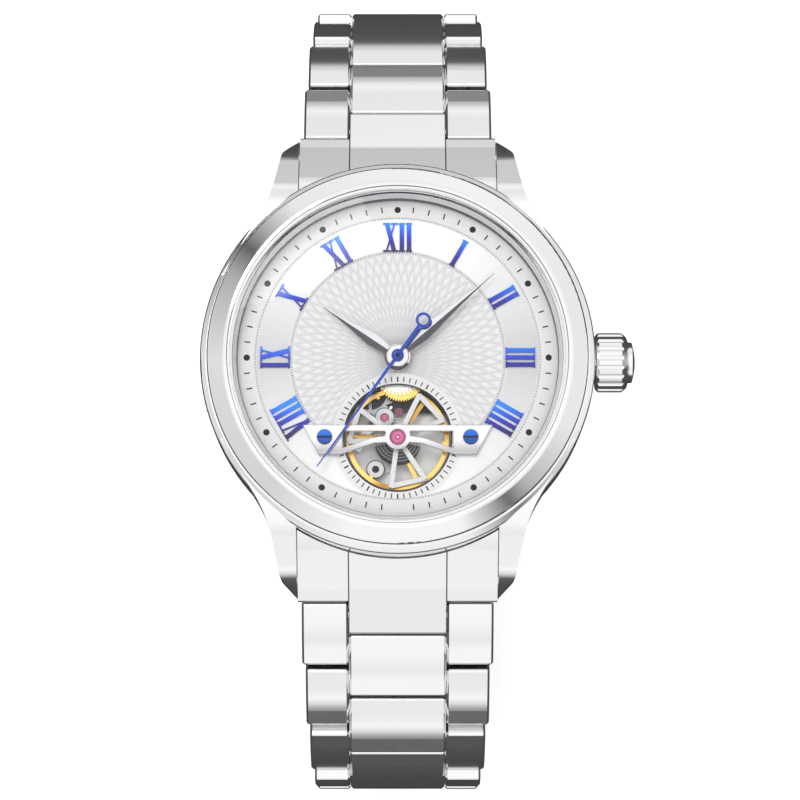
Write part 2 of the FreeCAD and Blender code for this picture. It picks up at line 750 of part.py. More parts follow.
def spiral(inner, outer, turns, width, z, height, start=0.0):
    """A flat spring: an even spiral from the inner to the outer radius, width thick."""
    steps = int(turns * 16)
    curve = []
    for k in range(steps + 1):
        turn = math.radians(start) + 2 * math.pi * turns * k / steps
        curve.append((turn, inner + (outer - inner) * k / steps))
    inside = [((r - width / 2) * math.cos(t), (r - width / 2) * math.sin(t)) for t, r in curve]
    outside = [((r + width / 2) * math.cos(t), (r + width / 2) * math.sin(t)) for t, r in curve]
    sides = []
    for points in (inside, outside):
        edge = Part.BSplineCurve()
        edge.interpolate([Vector(x, y, z) for x, y in points])
        sides.append(edge.toShape())
    ends = [Part.makeLine(sides[0].Vertexes[i].Point, sides[1].Vertexes[i].Point) for i in (0, 1)]
    face = Part.Face(Part.Wire([sides[0], ends[1], sides[1], ends[0]]))
    return face.extrude(Vector(0, 0, height))


seat("mainspring", solid_of(
    spiral(1.0, 4.8, 7, 0.14, 4.6, 0.9),
    cylinder(1.0, 4.6, 0.9).cut(cylinder(0.62, 4, 2)),
), *BARREL)


# ---------------------------------------------------------------- escapement and balance

def turned_point(x, y, degrees):
    a = math.radians(degrees)
    return x * math.cos(a) - y * math.sin(a), x * math.sin(a) + y * math.cos(a)


lever_angle = math.degrees(math.atan2(balance_y.value - PALLET[1], -PALLET[0]))
lever_outline = [
    (-0.15, -0.35), (0.5, -0.14), (1.55, -0.1), (1.7, -0.34), (1.92, -0.34), (1.8, -0.12),
    (1.8, 0.12), (1.92, 0.34), (1.7, 0.34), (1.55, 0.1), (0.5, 0.14), (-0.15, 0.35),
]
stones = [(-1.45, -0.02), (0.7, 1.22)]
fork_body = [prism([turned_point(x, y, lever_angle) for x, y in lever_outline], 5.34, 0.16),
             cylinder(0.35, 5.34, 0.16)]
for x, y in stones:
    out = math.hypot(x, y)
    fork_body.append(prism([turned_point(px, py, math.degrees(math.atan2(y, x))) for px, py in (
        (0, -0.16), (out, -0.11), (out, 0.11), (0, 0.16))], 5.34, 0.16))
fork_body.append(cylinder(0.12, 3.14, 2.6))
seat("pallet_fork", solid_of(*fork_body), *PALLET)

by = balance_y.value
rim_out, rim_in = balance_radius.value, balance_radius.value - balance_rim.value
ARM_ANGLES = (55.0, 175.0, 295.0)
balance_solids = [cylinder(rim_out, 6.1, 0.42).cut(cylinder(rim_in, 6, 1)), cylinder(0.62, 6.1, 0.42)]
for angle in ARM_ANGLES:
    arm = Part.makeBox(rim_in + 0.1, 0.42, 0.2, Vector(0, -0.21, 6.2))
    arm.rotate(Vector(), Z_AXIS, angle)
    balance_solids.append(arm)
balance_solids += [
    cylinder(staff_radius.value, 5.06, 2.8),
    cylinder(0.62, 5.32, 0.2),
    cylinder(0.1, 5.32, 0.5, *turned_point(0.5, 0, 120)),
]
for angle in (10, 100, 190, 280, 55 + 60, 175 + 60, 295 + 60):
    weight = Part.makeBox(0.22, 0.34, 0.3, Vector(rim_in - 0.2, -0.17, 6.16))
    weight.rotate(Vector(), Z_AXIS, angle)
    balance_solids.append(weight)
seat("balance_wheel", solid_of(*balance_solids), 0, by)


def cage():
    """Three open lobes joined at a hub: each is a rounded triangle with its broad side outwards."""
    reach, half_angle, arm = cage_radius.value, 20.7, 0.5
    lobes = []
    for angle in LOBE_ANGLES:
        tips = [turned_point(reach, 0, side * half_angle) for side in (-1, 1)]
        for x, y in tips:
            side = Part.makeBox(reach, arm, 0.35, Vector(0, -arm / 2, 6.75))
            side.rotate(Vector(), Z_AXIS, math.degrees(math.atan2(y, x)) + angle)
            lobes.append(side)
        outer = Part.makeBox(arm, tips[1][1] * 2, 0.35, Vector(tips[0][0] - arm + 0.1, tips[0][1], 6.75))
        outer.rotate(Vector(), Z_AXIS, angle)
        lobes.append(outer)
    hub = cylinder(1.0, 6.75, 0.35)
    return solid_of(hub, *lobes).cut(cylinder(staff_radius.value, 6, 3))


seat("balance_cage", cage(), 0, by)
seat("hairspring", solid_of(
    spiral(0.45, 2.3, 6, 0.05, 6.56, 0.14),
    cylinder(0.45, 6.56, 0.14),
).cut(cylinder(staff_radius.value, 6, 3)), 0, by)

hub = disc("bridge_hub", 1.27, 0, bridge_thickness)
end_drop, half = 1.75, bridge_half_length
bars = []
for side in (1, -1):
    bars.append(plate(f"bridge_end_{side}", [
        (5.5 * side, -1.75), (7.8 * side, -1.75), (half * side, 1.2), (5.5 * side, 1.2),
    ][::side], 0, bridge_thickness))
    bars.append(plate(f"bridge_arm_{side}", [
        (0, -0.5), (2.4 * side, -0.62), (5.6 * side, -1.75),
        (5.6 * side, -1.15), (2.6 * side, -0.1), (0, 0.3),
    ][::side], 0, bridge_thickness))
bars.append(plate("bridge_top_bar", [(-5.6, 0.6), (5.6, 0.6), (5.6, 1.2), (-5.6, 1.2)], 0, bridge_thickness))
for side in (1, -1):
    bars.append(plate(f"bridge_hub_tie_{side}", [
        (0.7 * side, 0.2), (1.5 * side, 0.7), (-0.1 * side, 0.9), (0, 0.2),
    ][::side], 0, bridge_thickness))
bridge_cuts = [disc("bridge_jewel_seat", 0.8, -1, 3)]
bridge_cuts += [disc(f"bridge_screw_seat_{s}", bridge_screw_radius + 0.02, bridge_thickness - 0.22, 2,
                     bridge_screw_x * s, 0) for s in (1, -1)]
bridge_cuts += [disc(f"bridge_screw_pass_{s}", 0.32, -1, 3, bridge_screw_x * s, 0) for s in (1, -1)]
bridge = cut("balance_bridge", joined("balance_bridge_solid", hub, *bars), *bridge_cuts)
bridge_foot = dial_top + 0.02
place(bridge, 0, balance_y, bridge_foot)
node("balance_bridge", bridge)

bridge_jewel = cut("bridge_jewel", disc("bridge_jewel_blank", 0.8, bridge_foot + 0.05, 0.4, 0, balance_y),
                   disc("bridge_jewel_hole", staff_radius + 0.03, bridge_foot - 1, 1.35, 0, balance_y))
pallet_stone = disc("pallet_stone", 0.45, 5.66, 0.3, *PALLET)
floor_stone = cut("balance_floor_jewel", disc("floor_jewel_blank", 0.5, well_floor - 0.3, 0.3, 0, balance_y),
                  disc("floor_jewel_hole", staff_radius + 0.03, well_floor - 0.1, 1, 0, balance_y))
node("jewels", group("jewels", *train_jewels, bridge_jewel, pallet_stone, floor_stone))


def screw(name, x, y, z_head, head_radius, head_height, shank_radius, shank_length, up=1):
    """A slotted screw; up is +1 when its head faces the dial side and -1 when it faces the back."""
    head = cylinder(head_radius, 0, head_height)
    slot = Part.makeBox(head_radius * 3, 0.22, 1, Vector(-head_radius * 1.5, -0.11, head_height * 0.5))
    body = solid_of(head.cut(slot), cylinder(shank_radius, -shank_length, shank_length + head_height * 0.4))
    if up < 0:
        body.rotate(Vector(), X_AXIS, 180)
    body.translate(Vector(x, y, z_head))
    piece = doc.addObject("Part::Feature", name)
    piece.Shape = body
    return piece


screw_head_z = bridge_foot.value + bridge_thickness.value - 0.22
screws = [screw(f"bridge_screw_{s}", bridge_screw_x.value * s, by, screw_head_z, bridge_screw_radius.value,
                0.26, 0.3, 1.6) for s in (1, -1)]
back_angles = (75.0, 200.0, 320.0)
for k, angle in enumerate(back_angles):
    x, y = turned_point(13.4, 0, angle)
    screws.append(screw(f"case_clamp_{k}", x, y, 3.1, 0.85, 0.3, 0.35, 0.0, -1))
node("movement_screws", group("movement_screws", *screws))

pallet_bridge_outline = [(-4.9, -8.6), (-3.8, -9.3), (-2.6, -7.3), (-0.75, -6.2), (-0.7, -5.5), (-1.3, -5.1),
                         (-2.0, -5.4), (-3.2, -6.9)]
pallet_bridge = plate("pallet_cock", [(x, y - by) for x, y in pallet_bridge_outline], 0, 0.26)
place(pallet_bridge, 0, balance_y, 5.64)
pallet_foot = plate("pallet_cock_foot", [(-4.9, -8.6 - by), (-3.8, -9.3 - by), (-3.1, -8.1 - by),
                                         (-4.1, -7.5 - by)], 0, 0.64)
place(pallet_foot, 0, balance_y, well_floor)
node("pallet_bridge", cut("pallet_bridge", joined("pallet_bridge_solid", pallet_bridge, pallet_foot),
                          disc("pallet_stone_seat", 0.45, 5, 2, *PALLET)))
regulator_at = (-2.3, by - 3.1)
shape_node("regulator", solid_of(
    cylinder(0.72, 5.0, 0.75, *regulator_at),
    Part.makeBox(0.9, 0.24, 0.2, Vector(regulator_at[0] + 0.5, regulator_at[1] - 0.12, 5.3)),
).cut(cylinder(0.4, 5.45, 1, *regulator_at)))


# ---------------------------------------------------------------- rotor, stem and crown

def rotor():
    """A half-round plate with a heavy rim, on a bearing hub, that winds the mainspring from either turn."""
    foot, outer = rotor_foot.value, rotor_radius.value
    web = Part.makeCylinder(outer, 0.3, Vector(0, 0, foot + 0.5), Z_AXIS, 180)
    weight = Part.makeCylinder(outer, 0.95, Vector(0, 0, foot), Z_AXIS, 180).cut(cylinder(outer - 1.9, 0, 9))
    window = Part.makeCylinder(outer - 3.2, 2, Vector(0, 0, foot), Z_AXIS, 130).cut(cylinder(4.6, 0, 9))
    window.rotate(Vector(), Z_AXIS, 25)
    return solid_of(web.cut(window), weight, cylinder(2.2, foot + 0.1, 0.9)).cut(cylinder(1.0, 0, 9))


seat("rotor", rotor(), *CENTRE, 200.0)


def along_x(name, shape, x):
    """A piece turned about its own Z axis, laid along X on the stem's line with its foot at x."""
    made = shape_node(name, shape)
    made.Placement = Placement(Vector(x, 0, crown_z.value), Rotation(Y_AXIS, 90))
    return made


def crown():
    """A fluted winding crown with a plain domed end, bored for its stem."""
    r, length = crown_radius.value, crown_length.value
    section = [(0, 0), (r - 0.35, 0), (r, 0.3), (r, length - 0.75), (r - 0.45, length - 0.2),
               (r - 1.0, length), (0, length)]
    line = Part.makePolygon([Vector(x, 0, z) for x, z in section] + [Vector()])
    knob = Part.Face(line).revolve(Vector(), Z_AXIS, 360)
    dome = Part.makeSphere(6.4, Vector(0, 0, length + 0.7 - 6.4)).common(cylinder(r - 1.0, length - 0.1, 2))
    flutes = []
    for k in range(CROWN_FLUTES):
        x, y = turned_point(r + 0.12, 0, 360 * k / CROWN_FLUTES)
        flutes.append(cylinder(0.3, -1, length + 0.6, x, y))
    return solid_of(knob, dome).cut(flutes[0].multiFuse(flutes[1:])).cut(cylinder(stem_radius.value, -1, 2.7))


CROWN_FLUTES = 20
along_x("crown", crown(), case_radius.value + crown_gap.value)
stem_end = case_radius.value + crown_gap.value + 1.7
stem = cylinder(stem_radius.value, 0, stem_end - stem_start.value)
groove = cylinder(1, 2.1, 0.5).cut(cylinder(0.24, 2, 1))
along_x("winding_stem", stem.cut(groove), stem_start.value)
lever = block("setting_lever", (0.36, 2.6, 0.3), (stem_start + 2.17, 0.3, crown_z - 0.15))
node("setting_lever", lever)


# ---------------------------------------------------------------- bracelet

def eased(label, base, amount=0.22):
    """Bevels the edges round both side faces of a slab padded along X."""
    doc.recompute()
    sides = [base.Shape.BoundBox.XMin, base.Shape.BoundBox.XMax]
    picked = []
    for i, edge in enumerate(base.Shape.Edges):
        box = edge.BoundBox
        if box.XLength < 1e-6 and min(abs(box.XMin - side) for side in sides) < 1e-6:
            turn = 2 * math.pi * getattr(edge.Curve, "Radius", 0)
            if abs(edge.Length - turn) > 1e-3:
                picked.append((i + 1, amount, amount))
    made = doc.addObject("Part::Chamfer", label)
    made.Base = base
    made.Edges = picked
    return made


hinge_y, hinge_z = [first_hinge_y], [first_hinge_z]
for slope in LINK_SLOPES:
    hinge_y.append(hinge_y[-1] + link_pitch * math.cos(math.radians(slope)))
    hinge_z.append(hinge_z[-1] - link_pitch * math.sin(math.radians(slope)))


def beside_first_hinge(along, out):
    """A point given along and square to the first link's slope, from the first hinge, in case Y and Z."""
    c, s = math.cos(math.radians(LINK_SLOPES[0])), math.sin(math.radians(LINK_SLOPES[0]))
    return (first_hinge_y + along * c + out * s, first_hinge_z + out * c - along * s)


def end_link_profile(end, last_round):
    return [
        (lug_reach - 16, case_foot + 0.95),
        (lug_reach - 16, case_top - 2.2),
        (lug_reach - 7.2, case_top - 2.2, 8.0),
        (*beside_first_hinge(as_size(-1.9 * quarter), half_thickness + 0.12), 4.0),
        (*beside_first_hinge(end, half_thickness), 0.35),
        (*beside_first_hinge(end, -half_thickness), last_round),
        (lug_reach - 4.4, case_foot - 0.35, 1.0),
    ]


def end_link(name):
    """Fills the space between the lugs; its nose carries the first hinge. A spring bar holds it."""
    wings = side_slab("end_link_wings", end_link_profile(-quarter - link_gap / 2, 0.4), lug_gap - 0.1)
    nose = side_slab("end_link_nose", end_link_profile(quarter - link_gap / 2, 1.3), centre_width)
    whole = joined("end_link_solid", wings, nose)
    case_room = lathe("end_link_case_room", [
        (0, case_foot - 12), (case_radius + 0.1, case_foot - 12), (case_radius + 0.1, case_top + 4),
        (0, case_top + 4),
    ])
    made = cut("end_link_body", whole, case_room,
               rod("end_link_bar_way", pin_radius, lug_gap + 1, 0, bar_y, bar_z),
               rod("end_link_pin_way", pin_radius + run_gap, lug_gap + 1, 0, first_hinge_y, first_hinge_z))
    bar = rod("spring_bar", pin_radius, lug_gap + 1.6, 0, bar_y, bar_z)
    return made, bar


end_body, spring_bar = end_link("end_link")
node("end_link_upper", group("end_link_upper", end_body, spring_bar))
lower_end = group("end_link_lower", end_body, spring_bar)
lower_end.Placement = Placement(Vector(), Rotation(Z_AXIS, 180))
node("end_link_lower", lower_end)


def arched_top(start, end):
    """Three top corners of a link's side profile: a long shallow arch with eased ends."""
    return [(start, half_thickness - link_crown, 0.3),
            ((start + end) * 0.5, half_thickness + link_crown * 0.75, 9.0),
            (end, half_thickness - link_crown, 0.3)]


centre_piece = eased("link_centre_eased", side_slab("link_centre", [
    *arched_top(quarter + link_gap / 2, 5 * quarter - link_gap / 2),
    (5 * quarter - link_gap / 2, -half_thickness, 1.3),
    (quarter + link_gap / 2, -half_thickness, 0.4),
], centre_width, [(2 * quarter, 0, pin_radius), (4 * quarter, 0, pin_radius + run_gap)]))


def side_piece(label, width, middle_x):
    """An outer link piece, rounded under its first end so that it can curl."""
    slab = side_slab(label, [
        *arched_top(-quarter + link_gap / 2, 3 * quarter - link_gap / 2),
        (3 * quarter - link_gap / 2, -half_thickness, 0.4),
        (-quarter + link_gap / 2, -half_thickness, 1.3),
    ], width, [(0, 0, pin_radius), (2 * quarter, 0, pin_radius)])
    made = eased(label + "_eased", slab)
    place(made, middle_x, 0, 0)
    return made


for number in range(1, LINKS_A_SIDE + 1):
    near, far = min(number, NEAR_LINKS), max(number - NEAR_LINKS, 0)
    width = bracelet_width - near_taper * near - far_taper * far
    side_width = (width - centre_width) / 2 - side_gap
    middle = (width + centre_width) / 4 + side_gap / 2
    pieces = [
        centre_piece,
        side_piece(f"link_side_{number}_right", side_width, middle),
        side_piece(f"link_side_{number}_left", side_width, -middle),
        rod(f"link_hinge_pin_{number}", pin_radius, width - 0.1),
        rod(f"link_fixed_pin_{number}", pin_radius, width - 0.1, 0, 2 * quarter),
    ]
    tilt = Rotation(X_AXIS, -LINK_SLOPES[number - 1])
    for side, sign, turn in (("upper", 1, 0), ("lower", -1, 180)):
        link = group(f"link_{side}_{number}", *pieces)
        y, z = hinge_y[number - 1] * sign, hinge_z[number - 1]
        link.Placement = Placement(Vector(0, y.value, z.value), Rotation(Z_AXIS, turn) * tilt)
        bind(link, "Placement.Base.y", y)
        bind(link, "Placement.Base.z", z)
        node(link.Name, link)


# ---------------------------------------------------------------- clasp

end_y, end_z = hinge_y[-1], hinge_z[-1]
far_end = -end_y + 3.6
fold_y, fold_z = far_end + 2.6, end_z - 0.05
knee_y, knee_z = end_y - 6.8, end_z - 0.1
eye_y, eye_z = far_end + 0.3, end_z + 0.7
BLADE_WIDTH, TONGUE_WIDTH = 13.0, 6.2


def clasp_cover():
    """A gently bowed cover with two side walls; a fork at one end takes the last link."""
    shell = side_slab("cover_shell", [
        (end_y + 1.5, end_z - 1.5, 1.45),
        (0, end_z - 1.5 - clasp_sag, 150.0),
        (far_end, end_z - 1.8, 0.6),
        (far_end, end_z + 1.3, 0.6),
        (0, end_z + 0.9 - clasp_sag * 0.7, 150.0),
        (end_y + 1.5, end_z + 1.5, 1.45),
    ], clasp_width)
    channel = side_slab("cover_channel", [
        (end_y - 3.3, end_z + 4),
        (end_y - 3.3, end_z - 0.75, 0.5),
        (0, end_z - 0.6 - clasp_sag, 150.0),
        (far_end + 0.9, end_z - 0.85, 0.5),
        (far_end + 0.9, end_z + 4),
    ], clasp_width - clasp_wall * 2)
    notch_width = centre_width + side_gap * 2
    notch = block("cover_notch", (notch_width, 6, 8), (-notch_width / 2, end_y - 2.5, end_z - 4))
    tongue_way = block("cover_tongue_way", (TONGUE_WIDTH + 1, 4.6, 8),
                       (-TONGUE_WIDTH / 2 - 0.5, far_end - 1.5, end_z - 4))
    pusher_way = block("cover_pusher_way", (30, pusher_length + 0.2, 1.2),
                       (-15, -pusher_length / 2 - 0.1, end_z - 2))
    walls = cut("cover_body", eased("cover_shell_eased", shell, 0.3), channel, notch, tongue_way, pusher_way,
                rod("cover_pin_way", pin_radius, 40, 0, end_y, end_z),
                rod("cover_fold_pin_way", 0.5, 40, 0, fold_y, fold_z))
    return group("clasp_cover", walls,
                 rod("cover_end_pin", pin_radius, clasp_width - 0.4, 0, end_y, end_z),
                 rod("cover_fold_pin", 0.5, clasp_width - 0.4, 0, fold_y, fold_z))


node("clasp_cover", clasp_cover())


def middle_blade():
    """The outer folding blade: it follows the cover's floor from the fold pin to the knee."""
    strip = side_slab("middle_strip", [
        (fold_y, fold_z - 0.8),
        (0, end_z - 2.15, 120.0),
        (knee_y, knee_z - 0.85),
        (knee_y, knee_z - 0.1),
        (0, end_z - 2.15 + blade_thickness, 120.0),
        (fold_y, fold_z - 0.05),
    ], BLADE_WIDTH)
    fold_end = rod("middle_fold_end", 0.85, BLADE_WIDTH, 0, fold_y, fold_z)
    knee_end = rod("middle_knee_end", 0.85, BLADE_WIDTH, 0, knee_y, knee_z)
    tongue_room = block("middle_tongue_room", (TONGUE_WIDTH + 0.2, 4, 4),
                        (-TONGUE_WIDTH / 2 - 0.1, knee_y - 1.3, knee_z - 2))
    body = cut("middle_body", joined("middle_solid", strip, fold_end, knee_end), tongue_room,
               rod("middle_fold_way", 0.56, 40, 0, fold_y, fold_z),
               rod("middle_knee_way", 0.45, 40, 0, knee_y, knee_z))
    return group("clasp_middle_blade", body, rod("knee_pin", 0.45, BLADE_WIDTH - 0.2, 0, knee_y, knee_z))


node("clasp_middle_blade", middle_blade())


def inner_blade():
    """The tongue nearest the wrist, from the knee over the fold pin to the eye for the last link."""
    lift = blade_thickness
    strip = side_slab("tongue_strip", [
        (knee_y, knee_z - 0.05),
        (knee_y * 0.2, end_z - 0.85, 40.0),
        (fold_y + 4, end_z - 0.1, 8.0),
        (fold_y, end_z + 0.95, 2.0),
        (eye_y, eye_z - 0.2),
        (eye_y, eye_z + 0.6),
        (fold_y, end_z + 0.98 + lift, 2.0),
        (fold_y + 4, end_z - 0.1 + lift, 8.0),
        (knee_y * 0.2, end_z - 0.85 + lift, 40.0),
        (knee_y, knee_z + 0.65),
    ], TONGUE_WIDTH)
    ends = [rod("tongue_knee_end", 0.85, TONGUE_WIDTH, 0, knee_y, knee_z),
            rod("tongue_eye_end", 0.9, TONGUE_WIDTH, 0, eye_y, eye_z)]
    return cut("clasp_inner_blade", joined("tongue_solid", strip, *ends),
               rod("tongue_knee_way", 0.51, 40, 0, knee_y, knee_z),
               rod("tongue_eye_way", 0.5, 40, 0, eye_y, eye_z))


node("clasp_inner_blade", inner_blade())
for side, sign in (("right", 1), ("left", -1)):
    start = clasp_width / 2 - 1.05 if sign > 0 else -clasp_width / 2 - 0.7
    node(f"clasp_pusher_{side}", block(f"clasp_pusher_{side}", (1.75, pusher_length, 1.1),
                                       (start, -pusher_length / 2, end_z - 1.95)))


# ---------------------------------------------------------------- check and export

doc.recompute()
for thing in doc.Objects:
    if "Invalid" in thing.State or "Error" in thing.State:
        raise RuntimeError(f"{thing.Name} did not rebuild: {thing.State}")

os.makedirs("parts", exist_ok=True)
for name, piece in nodes.items():
    if piece.Shape.isNull() or not piece.Shape.isValid():
        raise RuntimeError(f"{name} has no sound shape")
    piece.Shape.exportStep(f"parts/{name}.step")
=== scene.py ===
import math

import bpy
import numpy as np
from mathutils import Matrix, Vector


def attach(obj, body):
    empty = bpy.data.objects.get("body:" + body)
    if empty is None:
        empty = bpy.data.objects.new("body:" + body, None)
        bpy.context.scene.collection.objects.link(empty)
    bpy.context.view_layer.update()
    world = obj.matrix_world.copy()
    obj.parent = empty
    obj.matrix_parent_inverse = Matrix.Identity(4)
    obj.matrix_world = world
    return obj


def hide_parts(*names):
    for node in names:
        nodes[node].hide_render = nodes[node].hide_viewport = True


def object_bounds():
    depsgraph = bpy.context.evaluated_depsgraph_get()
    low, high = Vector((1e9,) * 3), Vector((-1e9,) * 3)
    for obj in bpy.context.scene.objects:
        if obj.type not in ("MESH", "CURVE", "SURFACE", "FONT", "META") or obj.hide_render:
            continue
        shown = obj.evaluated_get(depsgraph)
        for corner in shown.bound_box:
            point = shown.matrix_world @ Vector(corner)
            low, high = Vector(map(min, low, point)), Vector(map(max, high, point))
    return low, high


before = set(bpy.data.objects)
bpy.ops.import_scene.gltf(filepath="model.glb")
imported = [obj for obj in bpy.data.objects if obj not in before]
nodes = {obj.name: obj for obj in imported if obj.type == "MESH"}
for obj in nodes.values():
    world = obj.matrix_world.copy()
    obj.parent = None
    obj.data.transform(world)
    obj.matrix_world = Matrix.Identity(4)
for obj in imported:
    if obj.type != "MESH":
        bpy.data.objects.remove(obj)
cad_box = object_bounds()


# ---------------------------------------------------------------- case
# The case is one machined steel ring with four lugs that run out of its flanks. Its sides and lugs are
# polished; a polished bezel is pressed on over the crystal.

MM = 0.001                                      # a millimetre in metres
END_LINK_SEAM = (4.84, 4.98)                    # where the end link's middle piece meets its sides
SEAL_LINES = ((16.62, 16.66), (16.86, 16.95))   # the fine lines round the crystal's seal


class Field:
    """A value in a node tree. Arithmetic on fields adds Math nodes."""

    def __init__(self, tree, socket):
        self.tree, self.socket = tree, socket

    def math(self, operation, *others, clamp=False):
        node = self.tree.nodes.new("ShaderNodeMath")
        node.operation, node.use_clamp = operation, clamp
        for slot, value in enumerate((self, *others)):
            if isinstance(value, Field):
                self.tree.links.new(value.socket, node.inputs[slot])
            else:
                node.inputs[slot].default_value = value
        return Field(self.tree, node.outputs[0])

    def __add__(self, other):
        return self.math("ADD", other)

    def __sub__(self, other):
        return self.math("SUBTRACT", other)

    def __mul__(self, other):
        return self.math("MULTIPLY", other)

    def __truediv__(self, other):
        return self.math("DIVIDE", other)

    def inside(self, low, high, soft=0.00003):
        """1 between low and high, falling to 0 over a soft edge."""
        rise = ((self - low) / soft).math("ADD", 0.5, clamp=True)
        fall = ((self * -1.0 + high) / soft).math("ADD", 0.5, clamp=True)
        return rise * fall

    def ramp(self, *stops):
        """A colour from (position, colour) stops."""
        node = self.tree.nodes.new("ShaderNodeValToRGB")
        while len(node.color_ramp.elements) < len(stops):
            node.color_ramp.elements.new(0.5)
        for element, (position, colour) in zip(node.color_ramp.elements, stops):
            element.position = position
            element.color = (*colour, 1) if len(colour) == 3 else colour
        self.tree.links.new(self.socket, node.inputs[0])
        return Field(self.tree, node.outputs[0])


class Finish:
    """A material on one Principled shader, with fields for the place on the piece in metres."""

    def __init__(self, name, colour=(0.8, 0.8, 0.8), metallic=0.0, roughness=0.4, **more):
        self.material = bpy.data.materials.new(name)
        self.material.use_nodes = True
        self.tree = self.material.node_tree
        self.shader = self.tree.nodes["Principled BSDF"]
        self.shader.inputs["Base Color"].default_value = (*colour, 1)
        self.shader.inputs["Metallic"].default_value = metallic
        self.shader.inputs["Roughness"].default_value = roughness
        for key, value in more.items():
            self.shader.inputs[key.replace("_", " ")].default_value = value
        self.place = self.tree.nodes.new("ShaderNodeTexCoord").outputs["Object"]
        split = self.tree.nodes.new("ShaderNodeSeparateXYZ")
        self.tree.links.new(self.place, split.inputs[0])
        self.x, self.y, self.z = (Field(self.tree, split.outputs[k]) for k in range(3))

    def link(self, field, slot):
        """Feeds a field into one of the shader's sockets."""
        self.tree.links.new(field.socket, self.shader.inputs[slot])
        return self

    def around(self, centre=(0, 0)):
        """Radius in metres and angle in turns about an upright line."""
        x, y = self.x - centre[0] * MM, self.y - centre[1] * MM
        radius = (x * x + y * y).math("SQRT")
        return radius, y.math("ARCTAN2", x) / (2 * math.pi)

    def vector(self, *fields):
        """A vector from three fields or numbers."""
        node = self.tree.nodes.new("ShaderNodeCombineXYZ")
        for slot, value in enumerate(fields):
            if isinstance(value, Field):
                self.tree.links.new(value.socket, node.inputs[slot])
            else:
                node.inputs[slot].default_value = value
        return node.outputs[0]

    def noise(self, scale, detail=3.0, at=None, rough=0.5):
        """Cloudy noise between 0 and 1, at the place on the piece unless another vector is given."""
        node = self.tree.nodes.new("ShaderNodeTexNoise")
        node.inputs["Scale"].default_value = scale
        node.inputs["Detail"].default_value = detail
        node.inputs["Roughness"].default_value = rough
        self.tree.links.new(at or self.place, node.inputs["Vector"])
        return Field(self.tree, node.outputs[0])

    def mix(self, amount, low, high):
        """low where amount is 0 and high where it is 1; each is a colour or a field."""
        node = self.tree.nodes.new("ShaderNodeMix")
        node.data_type = "RGBA"
        for slot, value in ((0, amount), (6, low), (7, high)):
            if isinstance(value, Field):
                self.tree.links.new(value.socket, node.inputs[slot])
            else:
                node.inputs[slot].default_value = (*value, 1) if slot else value
        return Field(self.tree, node.outputs[2])

    def near_edges(self, width):
        """1 along sharp edges, falling to 0 at a width in millimetres from them."""
        softened = self.tree.nodes.new("ShaderNodeBevel")
        softened.samples = 4
        softened.inputs["Radius"].default_value = width * MM
        surface = self.tree.nodes.new("ShaderNodeNewGeometry")
        match = self.tree.nodes.new("ShaderNodeVectorMath")
        match.operation = "DOT_PRODUCT"
        self.tree.links.new(softened.outputs[0], match.inputs[0])
        self.tree.links.new(surface.outputs["Normal"], match.inputs[1])
        turned_away = Field(self.tree, match.outputs["Value"]) * -1.0 + 1.0
        return (turned_away * 8.0).math("MINIMUM", 1.0, clamp=True)

    def bump(self, height, distance, strength=1.0):
        """Raises the surface by a field, by distance metres where the field is 1."""
        node = self.tree.nodes.new("ShaderNodeBump")
        node.inputs["Strength"].default_value = strength
        node.inputs["Distance"].default_value = distance
        self.tree.links.new(height.socket, node.inputs["Height"])
        self.tree.links.new(node.outputs[0], self.shader.inputs["Normal"])
        return self


def paint(finish, *names):
    """Gives a finish to CAD nodes or pieces, in place of what they had."""
    for name in names:
        piece = nodes[name] if isinstance(name, str) else name
        piece.data.materials.clear()
        piece.data.materials.append(finish.material)


def rounded_edges(name, width, segments=2, angle=30):
    """Softens the machined edges of a piece by a width in millimetres."""
    bevel = nodes[name].modifiers.new("edges", "BEVEL")
    bevel.width, bevel.segments = width * MM, segments
    bevel.limit_method, bevel.angle_limit = "ANGLE", math.radians(angle)
    bevel.harden_normals = True


def polished(name, tone=0.86, roughness=0.09):
    """Polished steel: an almost even mirror with faint wipe marks."""
    finish = Finish(name, (tone, tone, tone * 1.01), 1.0, roughness)
    marks = finish.noise(900.0, 4.0)
    finish.link(marks * 0.05 + (roughness - 0.025), "Roughness")
    finish.bump(finish.noise(160.0, 2.0), 0.000004, 0.25)
    return finish


def brushed(name, along, tone=0.78, roughness=0.3):
    """Satin steel: grain drawn out along one direction ("x" or "y")."""
    finish = Finish(name, (tone, tone, tone * 1.01), 1.0, roughness)
    fine, coarse = 9000.0, 120.0
    scales = (coarse, fine, fine) if along == "x" else (fine, coarse, coarse)
    at = finish.vector(finish.x * scales[0], finish.y * scales[1], finish.z * scales[2])
    grain = finish.noise(1.0, 4.0, at, 0.6)
    finish.link(grain * 0.22 + (roughness - 0.1), "Roughness")
    finish.link(finish.mix(grain, (tone * 0.93,) * 3, (min(tone * 1.06, 1),) * 3), "Base Color")
    finish.bump(grain, 0.000006, 0.5)
    return finish


case_steel = polished("case_steel", 0.84, 0.14)
paint(case_steel, "case_middle")
end_steel = polished("end_link_steel", 0.84, 0.14)
seam = end_steel.x.math("ABSOLUTE").inside(END_LINK_SEAM[0] * MM, END_LINK_SEAM[1] * MM, 0.00004)
end_steel.link(end_steel.mix(seam, (0.84, 0.84, 0.85), (0.12, 0.12, 0.13)), "Base Color")
paint(end_steel, "end_link_upper", "end_link_lower")
paint(polished("bezel_steel", 0.88, 0.06), "bezel")
rounded_edges("case_middle", 0.22, 3)
rounded_edges("end_link_upper", 0.25, 3)
rounded_edges("end_link_lower", 0.25, 3)

